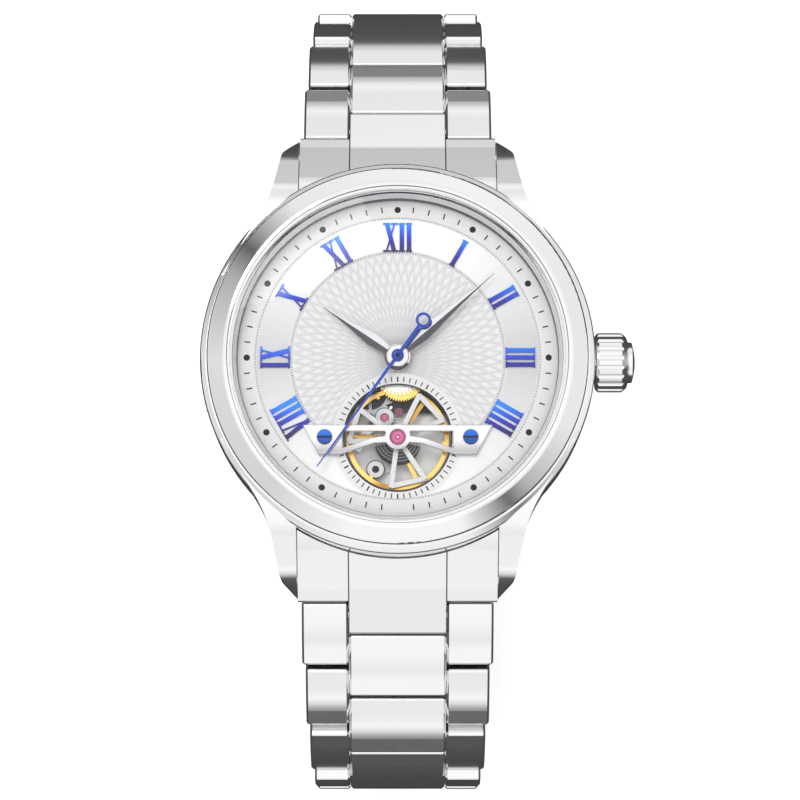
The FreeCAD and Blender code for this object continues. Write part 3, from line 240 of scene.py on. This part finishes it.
seal = Finish("white_seal", (0.86, 0.86, 0.86), 0.0, 0.3)
seal_radius, _ = seal.around()
inner_line, outer_line = (seal_radius.inside(low * MM, high * MM, 0.00002) for low, high in SEAL_LINES)
seal_lines = inner_line.math("MAXIMUM", outer_line)
seal.link(seal.mix(seal_lines, (0.86, 0.86, 0.86), (0.35, 0.35, 0.36)), "Base Color")
seal.bump(seal.noise(2500.0), 0.00001)
paint(seal, "gaskets")
paint(brushed("back_steel", "x", 0.7), "case_back", "rotor")


def clear_glass(name):
    """Coated sapphire: clear, with a faint mirror that strengthens at a glancing angle."""
    finish = Finish(name, (1, 1, 1), 1.0, 0.02)
    finish.link(finish.noise(300.0, 2.0) * 0.02 + 0.005, "Roughness")
    through = finish.tree.nodes.new("ShaderNodeBsdfTransparent")
    glance = finish.tree.nodes.new("ShaderNodeFresnel")
    glance.inputs["IOR"].default_value = 1.3
    mixed = finish.tree.nodes.new("ShaderNodeMixShader")
    finish.tree.links.new(glance.outputs[0], mixed.inputs[0])
    finish.tree.links.new(through.outputs[0], mixed.inputs[1])
    finish.tree.links.new(finish.shader.outputs[0], mixed.inputs[2])
    finish.tree.links.new(mixed.outputs[0], finish.tree.nodes["Material Output"].inputs["Surface"])
    return finish


paint(clear_glass("sapphire"), "crystal", "back_glass")


# ---------------------------------------------------------------- dial
# A silvered brass disc: engine-turned in the middle, a satin ring for the numerals, a plain white
# minute track outside it and a plain white ring round the balance opening.

BALANCE = (0.0, -8.05)
ENGRAVED_RADIUS, SATIN_RADIUS, TRACK_LINE = 10.45, 14.05, 14.2
LOBES, LOBE_TWIST = 72, 6.05      # crossing cuts round the dial, and their twist in turns per metre
OPENING_RING = 6.5                # the plain ring round the balance opening

dial = Finish("silvered_dial", (0.87, 0.87, 0.87), 0.0, 0.45)
radius, turn = dial.around()
cut_left = (turn + radius * LOBE_TWIST) * LOBES
cut_right = (turn - radius * LOBE_TWIST) * LOBES
facets = cut_left.math("PINGPONG", 0.5).math("MINIMUM", cut_right.math("PINGPONG", 0.5)) * 2.0
engraved = radius.inside(0.0, ENGRAVED_RADIUS * MM)
satin = radius.inside((ENGRAVED_RADIUS + 0.45) * MM, SATIN_RADIUS * MM)
beads = (turn * 240.0).math("PINGPONG", 0.5) * 2.0 * radius.inside(
    (ENGRAVED_RADIUS + 0.1) * MM, (ENGRAVED_RADIUS + 0.36) * MM)
track_beads = (turn * 300.0).math("PINGPONG", 0.5) * 2.0 * radius.inside(
    (TRACK_LINE - 0.08) * MM, (TRACK_LINE + 0.1) * MM)
opening_radius, _ = dial.around(BALANCE)
opening_ring = opening_radius.inside(0.0, OPENING_RING * MM)
open_dial = opening_ring * -1.0 + 1.0
engraved, satin = engraved * open_dial, satin * open_dial
grain = dial.noise(1.0, 4.0, dial.vector(radius * 14000.0, turn * 60.0, 0.0), 0.6)
# Painted sheen: the satin ring is lighter towards 12 and 6 o'clock and darker towards 3 and 9, with streaks
# round it, in place of the light on its brushing.
sweep = dial.noise(1.0, 2.0, dial.vector(turn * 90.0, 0.0, 0.0), 0.5)
upright = (turn * (2 * math.pi)).math("SINE").math("ABSOLUTE")
satin_painted_sheen = dial.mix(upright * 0.85 + sweep * 0.2, (0.55, 0.55, 0.56), (0.97, 0.97, 0.97))
# Painted shade on the engraving: each facet is painted darker towards the cut lines between facets.
facet_painted_shade = dial.mix(facets.math("POWER", 0.6), (0.72, 0.72, 0.73), (1.0, 1.0, 1.0))
lines = beads.math("MAXIMUM", track_beads) * 0.75
plain = dial.mix(lines, (0.93, 0.93, 0.93), (0.4, 0.4, 0.41))
tone = dial.mix(engraved, plain, facet_painted_shade)
dial.link(dial.mix(satin, tone, satin_painted_sheen), "Base Color")
dial.link(satin * 0.35, "Metallic")
heights = facets * engraved * 0.00006 + beads * 0.00005 + track_beads * 0.00004 + grain * satin * 0.000008
dial.bump(heights, 1.0, 1.0)
paint(dial, "dial")
flange = Finish("flange_white", (0.85, 0.85, 0.85), 0.0, 0.35)
flange_radius, _ = flange.around()
# Painted shadow: the flange is black inside 16.04 mm, standing for the shadow along its inner edge.
painted_foot_shadow = flange_radius.inside(0.0, 16.04 * MM, 0.00003)
flange.link(flange.mix(painted_foot_shadow, (0.85, 0.85, 0.85), (0.02, 0.02, 0.02)), "Base Color")
flange.bump(flange.noise(1500.0), 0.000003, 0.3)
paint(flange, "flange_ring")


def mesh_piece(name, vertices, faces, body, sharp_degrees=None):
    """One mesh from arrays of vertices in millimetres and faces, smooth unless an edge is sharp."""
    mesh = bpy.data.meshes.new(name)
    mesh.from_pydata(np.asarray(vertices, float) * MM, [], [tuple(int(i) for i in f) for f in faces])
    mesh.update()
    piece = bpy.data.objects.new(name, mesh)
    bpy.context.scene.collection.objects.link(piece)
    mesh.polygons.foreach_set("use_smooth", [True] * len(mesh.polygons))
    if sharp_degrees is not None:
        mesh.set_sharp_from_angle(angle=math.radians(sharp_degrees))
    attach(piece, body)
    return piece


def flat_marks(name, marks, z):
    """Printed marks: each is a closed outline laid flat as one face."""
    vertices, faces = [], []
    for outline in marks:
        start = len(vertices)
        vertices += [(x, y, z) for x, y in outline]
        faces.append(tuple(range(start, start + len(outline))))
    return mesh_piece(name, vertices, faces, "case")


def spoke(turn, inner, outer, width, centre=(0, 0)):
    """A short radial bar's four corners: turn in radians from 3 o'clock."""
    along, across = np.array([math.cos(turn), math.sin(turn)]), np.array([-math.sin(turn), math.cos(turn)])
    corners = [(inner, -1), (outer, -1), (outer, 1), (inner, 1)]
    return [tuple(np.array(centre) + along * r + across * side * width / 2) for r, side in corners]


def round_dot(turn, distance, radius, points=24):
    """A round mark's outline: a circle about the point at a distance along the turn."""
    at = np.array([math.cos(turn), math.sin(turn)]) * distance
    return [tuple(at + radius * np.array([math.cos(a), math.sin(a)]))
            for a in np.linspace(0, 2 * np.pi, points, endpoint=False)]


ink = Finish("black_print", (0.003, 0.003, 0.004), 0.0, 0.6, Specular_IOR_Level=0.1)
ink.bump(ink.noise(3000.0), 0.000004)
DIAL_TOP, PRINT_HEIGHT = 7.6, 0.012              # the dial's face, and how far the print stands on it
HOUR_DOT = (15.05, 0.32)                         # distance out and radius
MINUTE_LINE = (14.8, 15.38, 0.13)                # inner end, outer end and width
OPENING_LINE, LONG_WIDTH, SHORT_WIDTH = (5.62, 6.12), 0.14, 0.1
marks = []
for minute in range(60):
    turn_now = math.radians(90 - 6 * minute)
    if minute % 5 == 0 and minute != 30:
        marks.append(round_dot(turn_now, *HOUR_DOT))
    elif minute != 30:
        marks.append(spoke(turn_now, *MINUTE_LINE))
for minute in range(60):
    width = LONG_WIDTH if minute % 5 == 0 else SHORT_WIDTH
    marks.append(spoke(math.radians(6 * minute), *OPENING_LINE, width, BALANCE))
printed = flat_marks("minute_marks", marks, DIAL_TOP + PRINT_HEIGHT)
paint(ink, printed)


# ---------------------------------------------------------------- numerals
# Thin Roman numerals of polished steel, heat blued and pinned to the dial. Their colour is painted light:
# bright towards the top of each one and almost navy at its lower end, as if the curved tops caught the
# light.

NUMERAL_MIDDLE, NUMERAL_SPAN = 12.4, 3.0         # middle of a numeral from the dial's centre, and its height

blued = Finish("blued_numerals", (0.02, 0.08, 0.6), 0.2, 0.35)
numeral_radius, numeral_turn = blued.around()
hour = ((numeral_turn * 12.0).math("ROUND") / 12.0) * (2 * math.pi)
drop = blued.y - hour.math("SINE") * (NUMERAL_MIDDLE * MM)
share_of_height = (drop / (NUMERAL_SPAN * MM)).math("ADD", 0.5, clamp=True)
# Painted light: navy at the lower end of each numeral, rising to bright blue at its top.
blue_with_painted_light = share_of_height.ramp(
    (0.0, (0.001, 0.001, 0.1)), (0.35, (0.001, 0.008, 0.42)),
    (0.65, (0.001, 0.1, 0.8)), (0.9, (0.001, 0.25, 0.95)))
blued.link(blue_with_painted_light, "Base Color")
blued.link(blued.noise(1800.0) * 0.1 + 0.2, "Roughness")
paint(blued, "hour_numerals")
rounded_edges("hour_numerals", 0.05, 2)


# ---------------------------------------------------------------- hands
# Polished steel hands folded along a centre ridge, with one flank painted dark and the other bright as
# painted light, and a fine blued seconds hand with an open counterweight ring.

def grid_faces(rows, columns, wrap_rows=False, wrap_columns=False):
    """Quads between the points of a rows by columns grid, flattened row by row."""
    down, along = np.arange(rows - (not wrap_rows)), np.arange(columns - (not wrap_columns))
    i, j = np.meshgrid(down, along, indexing="ij")
    a, b = i * columns + j, i * columns + (j + 1) % columns
    c, d = ((i + 1) % rows) * columns + (j + 1) % columns, ((i + 1) % rows) * columns + j
    return np.stack([a, b, c, d], axis=-1).reshape(-1, 4)


def turned(name, profile, body, segments=256, centre=(0, 0), sharp_degrees=35):
    """A turned piece: each (radius, height) of the profile is carried round a circle about Z."""
    radius, height = np.array(profile, float).T
    turn = np.linspace(0, 2 * np.pi, segments, endpoint=False)
    x = centre[0] + radius[:, None] * np.cos(turn)
    y = centre[1] + radius[:, None] * np.sin(turn)
    z = np.repeat(height[:, None], segments, axis=1)
    faces = grid_faces(len(radius), segments, wrap_rows=True, wrap_columns=True)
    return mesh_piece(name, np.stack([x, y, z], -1).reshape(-1, 3), faces[:, ::-1], body, sharp_degrees)


def ridged_hand(name, stations, foot, ridge, clock_angle, body):
    """Along the hand the half width follows the stations; across it the section is a low roof."""
    along, half = np.array(stations, float).T
    turn_now = math.radians(90 - clock_angle)
    flanks = []
    for side in (-1.0, 1.0):
        low = np.stack([along, side * half, np.full_like(along, foot)], -1)
        edge = np.stack([along, side * half, np.full_like(along, foot + 0.04)], -1)
        top = np.stack([along, 0 * half, foot + 0.04 + ridge * np.minimum(half / half.max(), 1)], -1)
        flanks.append(np.stack([low, edge, top]) if side < 0 else np.stack([top, edge, low]))
    rows = np.concatenate(flanks)
    cosine, sine = math.cos(turn_now), math.sin(turn_now)
    spin = np.array([[cosine, sine, 0], [-sine, cosine, 0], [0, 0, 1]])
    faces = grid_faces(6, len(along), wrap_rows=True)
    return mesh_piece(name, rows.reshape(-1, 3) @ spin, faces, body, 12)


def lance(length, root, belly, tip, belly_at=0.3, steps=40):
    """Half widths of a lance: swelling from the root to the belly, then a hollow taper to a needle."""
    share = np.linspace(0, 1, steps)
    swell = root + (belly - root) * np.sin(np.clip(share / belly_at, 0, 1) * np.pi / 2)
    fade = np.clip((share - belly_at) / (1 - belly_at), 0, 1)
    taper = tip + (belly - tip) * (1 - fade) ** 1.5
    half = np.where(share < belly_at, swell, taper)
    return list(zip(0.9 + share * (length - 0.9), half))


def flanks_with_painted_shade(name, clock_angle, dark_side):
    """Hand steel with painted light: one flank beside the ridge is painted in shade, the other bright."""
    finish = polished(name, 0.8, 0.16)
    turn_now = math.radians(90 - clock_angle)
    across = finish.y * math.cos(turn_now) - finish.x * math.sin(turn_now)
    # Painted shade: the flank on the dark side of the ridge is painted almost black.
    dark = (across * dark_side / (0.02 * MM)).math("ADD", 0.5, clamp=True)
    finish.link(finish.mix(dark, (0.86, 0.86, 0.88), (0.1, 0.1, 0.11)), "Base Color")
    return finish


HOUR_ANGLE, MINUTE_ANGLE = 304.0, 49.0           # degrees clockwise from 12 o'clock
HOUR_LENGTH, MINUTE_LENGTH = 8.9, 12.8
HOUR_FOOT, MINUTE_FOOT, RIDGE = 8.3, 8.6, 0.2    # undersides of the hands, and the height of their ridge
ROOT, BELLY = 0.36, 0.66                         # half widths at the hub and at the widest place

hour_leaf = lance(HOUR_LENGTH, ROOT, BELLY, 0.05)
minute_leaf = lance(MINUTE_LENGTH, ROOT, BELLY, 0.04, 0.24)
hour_hand = ridged_hand("hour_hand_leaf", hour_leaf, HOUR_FOOT, RIDGE, HOUR_ANGLE, "hours")
minute_hand = ridged_hand("minute_hand_leaf", minute_leaf, MINUTE_FOOT, RIDGE, MINUTE_ANGLE, "minutes")
hub = turned("hour_hand_hub", [
    (0.9, 8.3), (1.25, 8.3), (1.3, 8.36), (1.3, 8.42), (1.25, 8.46), (0.9, 8.46)], "hours")
minute_hub = turned("minute_hand_hub", [
    (0.16, 8.6), (1.1, 8.6), (1.15, 8.66), (1.15, 8.74), (1.05, 8.82), (0.7, 8.84), (0.16, 8.84)], "minutes")
paint(flanks_with_painted_shade("hour_hand_steel", HOUR_ANGLE, 1.0), hour_hand, hub)
paint(flanks_with_painted_shade("minute_hand_steel", MINUTE_ANGLE, -1.0), minute_hand)
paint(polished("hub_steel", 0.8, 0.08), minute_hub)
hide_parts("hour_hand")
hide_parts("minute_hand")

blue_hand = Finish("blued_hand", (0.001, 0.045, 0.4), 0.4, 0.35)
blue_hand.link(blue_hand.noise(1500.0) * 0.1 + 0.25, "Roughness")
rounded_edges("seconds_hand", 0.04, 2)
paint(blue_hand, "seconds_hand")
boss = turned("seconds_hand_boss", [
    (0.0, 9.05), (0.62, 9.05), (0.62, 9.2), (0.45, 9.28), (0.2, 9.3), (0.0, 9.3)], "seconds")
pin_cap = turned("seconds_pin_cap", [(0.0, 9.29), (0.2, 9.29), (0.2, 9.33), (0.0, 9.33)], "seconds", 48)
paint(blue_hand, boss)
paint(ink, pin_cap)


# ---------------------------------------------------------------- balance
# Under the opening: a gilt balance with a white three-lobed cage on its staff, a polished bridge over it
# held by two blued screws, and the lever and its rubies behind.

HUB_JEWEL, LEVER_JEWEL = 0.82, 0.45              # radii of the two jewels
LEVER_PIVOT, INDEX_PLACE = (-1.3, -5.8), (-2.2, -11.0)

gilt = Finish("gilt", (0.9, 0.58, 0.16), 1.0, 0.22)
gilt.link(gilt.noise(1200.0) * 0.12 + 0.16, "Roughness")
_, rim_turn = gilt.around(BALANCE)
# Partly the dark marks of the rim's screws, partly painted reflections: the gilt darkens and brightens in
# bands round the balance.
broad_wave = (rim_turn * 18.0).math("SINE")
narrow_wave = (rim_turn * 41.0 + 1.3).math("SINE")
rim_marks_and_painted_light = (broad_wave + narrow_wave).math("MULTIPLY", 0.5, clamp=True)
gilt.link(gilt.mix(rim_marks_and_painted_light, (1.0, 0.66, 0.17), (0.42, 0.2, 0.03)), "Base Color")
gilt.bump(gilt.noise(900.0), 0.000004, 0.3)
paint(gilt, "balance_wheel", "barrel", "fourth_wheel", "third_wheel", "centre_wheel",
      "minute_wheel", "hour_wheel")
white = Finish("white_lacquer", (0.88, 0.88, 0.88), 0.0, 0.35)
# Painted shade: the white pieces are painted dark along their sharp edges.
white.link(white.mix(white.near_edges(0.05), (0.9, 0.9, 0.9), (0.3, 0.3, 0.31)), "Base Color")
white.bump(white.noise(1500.0), 0.000004, 0.3)
paint(white, "balance_cage", "regulator")
ruby = Finish("ruby", (0.6, 0.03, 0.2), 0.0, 0.1, Coat_Weight=1.0)
ruby_tone_and_light = ruby.mix(ruby.noise(700.0), (0.42, 0.01, 0.12), (0.62, 0.04, 0.22))
# Painted light on each jewel's dome: a bright ring and a bright centre as highlights, and a dark rim (edge)
# as shade.
for jewel_centre, jewel_radius in ((BALANCE, HUB_JEWEL), (LEVER_PIVOT, LEVER_JEWEL)):
    from_middle, _ = ruby.around(jewel_centre)
    painted_highlight_ring = from_middle.inside(jewel_radius * 0.38 * MM, jewel_radius * 0.62 * MM, jewel_radius * 0.2 * MM)
    painted_centre_highlight = from_middle.inside(0.0, jewel_radius * 0.14 * MM, 0.00002)
    edge = from_middle.inside(jewel_radius * 0.9 * MM, jewel_radius * 1.2 * MM, 0.00004)
    ruby_tone_and_light = ruby.mix(painted_highlight_ring, ruby_tone_and_light, (0.85, 0.16, 0.45))
    ruby_tone_and_light = ruby.mix(edge, ruby.mix(painted_centre_highlight, ruby_tone_and_light, (1.0, 0.75, 0.85)), (0.12, 0.0, 0.04))
ruby.link(ruby_tone_and_light, "Base Color")
paint(ruby, "jewels")
bridge_steel = polished("bridge_steel", 0.85, 0.16)
# Painted shade: the bridge is darker towards its lower side and almost black along its sharp edges.
painted_shade_mask_low = ((bridge_steel.y - (BALANCE[1] - 1.3) * MM) / (1.1 * MM)).math("MINIMUM", 1.0, clamp=True)
bridge_painted_shade = bridge_steel.mix(painted_shade_mask_low, (0.5, 0.5, 0.51), (0.88, 0.88, 0.89))
bridge_painted_edge_shade = bridge_steel.near_edges(0.13)
bridge_steel.link(bridge_steel.mix(bridge_painted_edge_shade, bridge_painted_shade, (0.06, 0.06, 0.065)), "Base Color")
paint(bridge_steel, "balance_bridge")
screw_blue = Finish("blued_screws", (0.01, 0.09, 0.45), 0.6, 0.3)
screw_blue.link(screw_blue.noise(1500.0) * 0.1 + 0.25, "Roughness")
# Painted light and shade: the screws are lighter upwards, and the slot across each head is painted almost
# black as shade.
slot = (screw_blue.y - BALANCE[1] * MM).math("ABSOLUTE").inside(-1.0, 0.12 * MM, 0.00003)
painted_light_upward = ((screw_blue.y - (BALANCE[1] - 0.7) * MM) / (1.4 * MM)).math("ADD", 0.0, clamp=True)
screw_painted_light = screw_blue.mix(painted_light_upward, (0.003, 0.03, 0.2), (0.01, 0.16, 0.75))
screw_blue.link(screw_blue.mix(slot, screw_painted_light, (0.0, 0.01, 0.06)), "Base Color")
paint(screw_blue, "movement_screws")
paint(brushed("plate_steel", "x", 0.72, 0.3), "train_bridge", "pallet_bridge", "cannon_pinion",
      "pallet_fork", "winding_stem", "setting_lever")
floor_steel = brushed("well_steel", "x", 0.85, 0.35)
well_radius, _ = floor_steel.around(BALANCE)
# Painted shade: the plate is near black at the top of the balance opening and on its wall, where shade
# falls.
shade = ((floor_steel.y + 5.4 * MM) / (0.5 * MM)).math("ADD", 0.5, clamp=True)
floor_steel.shader.inputs["Metallic"].default_value = 0.2
wall = well_radius.inside(5.35 * MM, 50 * MM, 0.00005)
in_shade = shade.math("MAXIMUM", wall)
floor_steel.link(floor_steel.mix(in_shade, (0.93, 0.93, 0.93), (0.03, 0.03, 0.035)), "Base Color")
paint(floor_steel, "main_plate")
dark_steel = Finish("spring_steel", (0.35, 0.36, 0.38), 1.0, 0.25)
dark_steel.link(dark_steel.noise(1500.0) * 0.1 + 0.2, "Roughness")
paint(dark_steel, "hairspring", "mainspring", "escape_wheel")
# Black steel, also used as painted shade: black rings stand for the shadow on the wall of the balance
# opening and in the groove round the hub jewel.
black_steel_and_shade = Finish("black_steel_and_painted_shade", (0.03, 0.03, 0.035), 1.0, 0.2)
black_steel_and_shade.link(black_steel_and_shade.noise(1500.0) * 0.1 + 0.15, "Roughness")


def ring(name, centre, inner, outer, foot, top, segments=96):
    """A flat turned ring about an upright line, with its square section from foot up to top."""
    return turned(name, [(inner, foot), (outer, foot), (outer, top), (inner, top)], "case", segments, centre)


def gear_ring(name, centre, inner, outer, teeth, depth, foot, top):
    """A toothed ring: its radius is outer - depth * (1 - wave) / 2 all round, where wave is 1.6 times the
    cosine of teeth * turn, cut off at -1 and 1, which leaves flat tips and roots."""
    turn = np.linspace(0, 2 * np.pi, teeth * 12, endpoint=False)
    wave = np.clip(1.6 * np.cos(teeth * turn), -1, 1)
    rim = outer - depth * (1 - wave) / 2
    rows = []
    for radius_here, z in ((inner + 0 * rim, foot), (rim, foot), (rim, top), (inner + 0 * rim, top)):
        rows.append(np.stack([centre[0] + radius_here * np.cos(turn), centre[1] + radius_here * np.sin(turn),
                              np.full_like(turn, z)], -1))
    faces = grid_faces(4, len(turn), wrap_rows=True, wrap_columns=True)
    return mesh_piece(name, np.concatenate(rows), faces[:, ::-1], "case", 30)


# The steel wheel whose teeth show under the top edge of the opening, and a gilt one beneath it.
paint(brushed("tooth_steel", "x", 0.9, 0.25),
      gear_ring("upper_train_wheel", (0.05, -0.75), 1.6, 2.95, 46, 0.42, 6.82, 6.96))
paint(gilt, gear_ring("lower_train_wheel", (0.35, -2.0), 1.2, 2.3, 52, 0.2, 6.62, 6.74))

# Settings of the jewels, and the two stones of the lever.
# The black ring round the hub jewel is painted shade in its groove.
paint(black_steel_and_shade, ring("hub_groove_shade", BALANCE, HUB_JEWEL, 0.98, 7.6, 7.9),
      ring("lever_setting_line", LEVER_PIVOT, 0.93, 1.0, 5.9, 6.02),
      ring("index_edge", INDEX_PLACE, 0.84, 0.93, 5.78, 5.9),
      ring("index_centre", INDEX_PLACE, 0.0, 0.36, 5.78, 5.93))
paint(white, ring("lever_setting", LEVER_PIVOT, LEVER_JEWEL, 0.93, 5.9, 6.02),
      ring("index_disc", INDEX_PLACE, 0.36, 0.84, 5.78, 5.92))
dark_ruby = Finish("lever_ruby", (0.22, 0.01, 0.07), 0.0, 0.12, Coat_Weight=1.0)
dark_ruby.link(dark_ruby.mix(dark_ruby.noise(900.0), (0.16, 0.0, 0.05), (0.34, 0.02, 0.12)), "Base Color")
paint(dark_ruby, ring("lever_stone_right", (0.1, -5.25), 0.0, 0.42, 5.7, 5.95),
      ring("lever_stone_left", (-2.75, -6.55), 0.0, 0.32, 5.7, 5.95))


def half_ring(name, centre, inner, outer, first, last, foot, top):
    """Part of a flat ring, from the first angle to the last in degrees, closed at both ends."""
    turn = np.radians(np.linspace(first, last, 60))
    rows = [np.stack([centre[0] + r * np.cos(turn), centre[1] + r * np.sin(turn), np.full_like(turn, z)], -1)
            for r, z in ((inner, foot), (outer, foot), (outer, top), (inner, top))]
    faces = grid_faces(4, len(turn), wrap_rows=True)
    ends = [(0, 60, 120, 180), (59, 239, 179, 119)]
    return mesh_piece(name, np.concatenate(rows), list(faces[:, ::-1]) + ends, "case", 30)


# The dark arm of the lower bridge, seen below the hub between the lobes of the cage, and a black ring of
# painted shade on the wall of the balance opening.
ARM_CENTRE = (BALANCE[0], BALANCE[1] - 0.35)
paint(black_steel_and_shade, half_ring("lower_bridge_arm", ARM_CENTRE, 1.0, 2.3, 190.0, 350.0, 6.55, 6.66),
      ring("opening_wall_shade", BALANCE, 5.3, 5.5, 6.9, 7.58, segments=192))


# ---------------------------------------------------------------- crown
# A fluted steel crown with a plain domed end, screwed to its stem.

paint(polished("crown_steel", 0.84, 0.12), "crown")
rounded_edges("crown", 0.05, 2)


# ---------------------------------------------------------------- bracelet and clasp
# Solid polished links pinned together, eight a side, and a folding clasp of satin steel: a cover with
# two spring pushers, and two blades that fold under it.

link_steel = polished("link_steel", 0.84, 0.16)
for side in ("upper", "lower"):
    for number in range(1, 9):
        link_name = f"link_{side}_{number}"
        paint(link_steel, link_name)
        rounded_edges(link_name, 0.12, 2)
paint(brushed("clasp_steel", "y", 0.75), "clasp_cover", "clasp_middle_blade", "clasp_inner_blade",
      "clasp_pusher_left", "clasp_pusher_right")


# ---------------------------------------------------------------- floor, light and camera
# The watch lies in a white tent over a pale floor, with one soft box above. Its steel sees bright and dark
# bands in the tent and a dark floor, which is what draws the lines along its edges.

FLOOR_REACH, FLOOR_GLOW, FLOOR_IN_MIRRORS = 3.0, 0.35, 0.04      # reach in metres

floor_white = Finish("floor", (0.95, 0.95, 0.95), 0.0, 0.9, Emission_Color=(1.0, 1.0, 1.0, 1.0))
floor_paths = floor_white.tree.nodes.new("ShaderNodeLightPath")
in_mirror = Field(floor_white.tree, floor_paths.outputs["Is Glossy Ray"])
speckle = floor_white.mix(floor_white.noise(3.0), (0.94,) * 3, (0.96,) * 3)
floor_white.link(floor_white.mix(in_mirror, speckle, (FLOOR_IN_MIRRORS,) * 3), "Base Color")
floor_white.link((in_mirror * -1.0 + 1.0) * FLOOR_GLOW, "Emission Strength")
floor_mesh = bpy.data.meshes.new("floor")
floor_corners = [(x * FLOOR_REACH, y * FLOOR_REACH, cad_box[0].z)
                 for x, y in ((-1, -1), (1, -1), (1, 1), (-1, 1))]
floor_mesh.from_pydata(floor_corners, [], [(0, 1, 2, 3)])
floor = bpy.data.objects.new("floor", floor_mesh)
bpy.context.scene.collection.objects.link(floor)
floor.data.materials.append(floor_white.material)

world = bpy.data.worlds.new("light_tent")
bpy.context.scene.world = world
world.use_nodes = True
sky = world.node_tree
way = sky.nodes.new("ShaderNodeTexCoord")
parts = sky.nodes.new("ShaderNodeSeparateXYZ")
sky.links.new(way.outputs["Generated"], parts.inputs[0])
east, north, up = (Field(sky, parts.outputs[k]) for k in range(3))
azimuth = north.math("ARCTAN2", east) / (2 * math.pi) + 0.5      # 0.5 towards 3 o'clock, 0.75 towards 12
level = azimuth.ramp(
    (0.0, (0.8,) * 3), (0.1, (0.72,) * 3), (0.2, (1.0,) * 3), (0.32, (1.0,) * 3), (0.375, (0.16,) * 3),
    (0.4, (0.5,) * 3), (0.47, (0.92,) * 3), (0.55, (0.95,) * 3), (0.7, (1.0,) * 3), (0.83, (0.9,) * 3),
    (0.875, (0.14,) * 3), (0.9, (0.5,) * 3), (0.97, (0.85,) * 3), (1.0, (0.8,) * 3))
band = ((up + 1.0) * 0.5).ramp(
    (0.3, (0.2,) * 3), (0.46, (0.06,) * 3), (0.5, (0.06,) * 3), (0.53, (0.3,) * 3), (0.59, (0.8,) * 3),
    (0.68, (1.15,) * 3), (0.78, (0.95,) * 3), (0.88, (1.05,) * 3), (0.95, (1.15,) * 3))
overhead = ((up - 0.76) / 0.16).math("MAXIMUM", 0.0, clamp=True)


def sky_mix(amount, low, high, kind="MIX"):
    """Blends two colours or fields in the surroundings."""
    blend = sky.nodes.new("ShaderNodeMix")
    blend.data_type, blend.blend_type = "RGBA", kind
    for slot, value in ((0, amount), (6, low), (7, high)):
        if isinstance(value, Field):
            sky.links.new(value.socket, blend.inputs[slot])
        else:
            blend.inputs[slot].default_value = (*value, 1) if slot else value
    return Field(sky, blend.outputs[2])


sides = sky_mix(overhead, level, (1.0, 1.0, 1.0))
tent = sky_mix(1.0, band, sides, "MULTIPLY")
seen_by = sky.nodes.new("ShaderNodeLightPath")
mirror_ray = Field(sky, seen_by.outputs["Is Glossy Ray"])
sky.links.new(sky_mix(mirror_ray, (0.98, 0.98, 0.98), tent).socket, sky.nodes["Background"].inputs[0])
sky.nodes["Background"].inputs[1].default_value = 1.0


def soft_light(name, at, size, power):
    """A square soft box aimed at the watch; place and size in millimetres."""
    lamp = bpy.data.lights.new(name, "AREA")
    lamp.size, lamp.energy = size * MM, power
    light = bpy.data.objects.new(name, lamp)
    light.location = Vector(at) * MM
    light.rotation_euler = (-light.location).to_track_quat("-Z", "Y").to_euler()
    bpy.context.scene.collection.objects.link(light)


soft_light("key", (-120, 160, 430), 160, 0.45)

EYE_DISTANCE, EYE_TILT, LENS = 325.0, 9.5, 143.3
camera_data = bpy.data.cameras.new("camera")
camera_data.lens = LENS
camera_data.shift_x, camera_data.shift_y = 0.0029, -0.0372
camera = bpy.data.objects.new("camera", camera_data)
tilt = math.radians(EYE_TILT)
camera.location = Vector((0, -math.sin(tilt), math.cos(tilt))) * EYE_DISTANCE * MM
camera.rotation_euler = (tilt, 0, 0)
camera_data.clip_start, camera_data.clip_end = 0.01, 10
bpy.context.scene.collection.objects.link(camera)
bpy.context.scene.camera = camera
bpy.context.scene.view_settings.view_transform = "Standard"
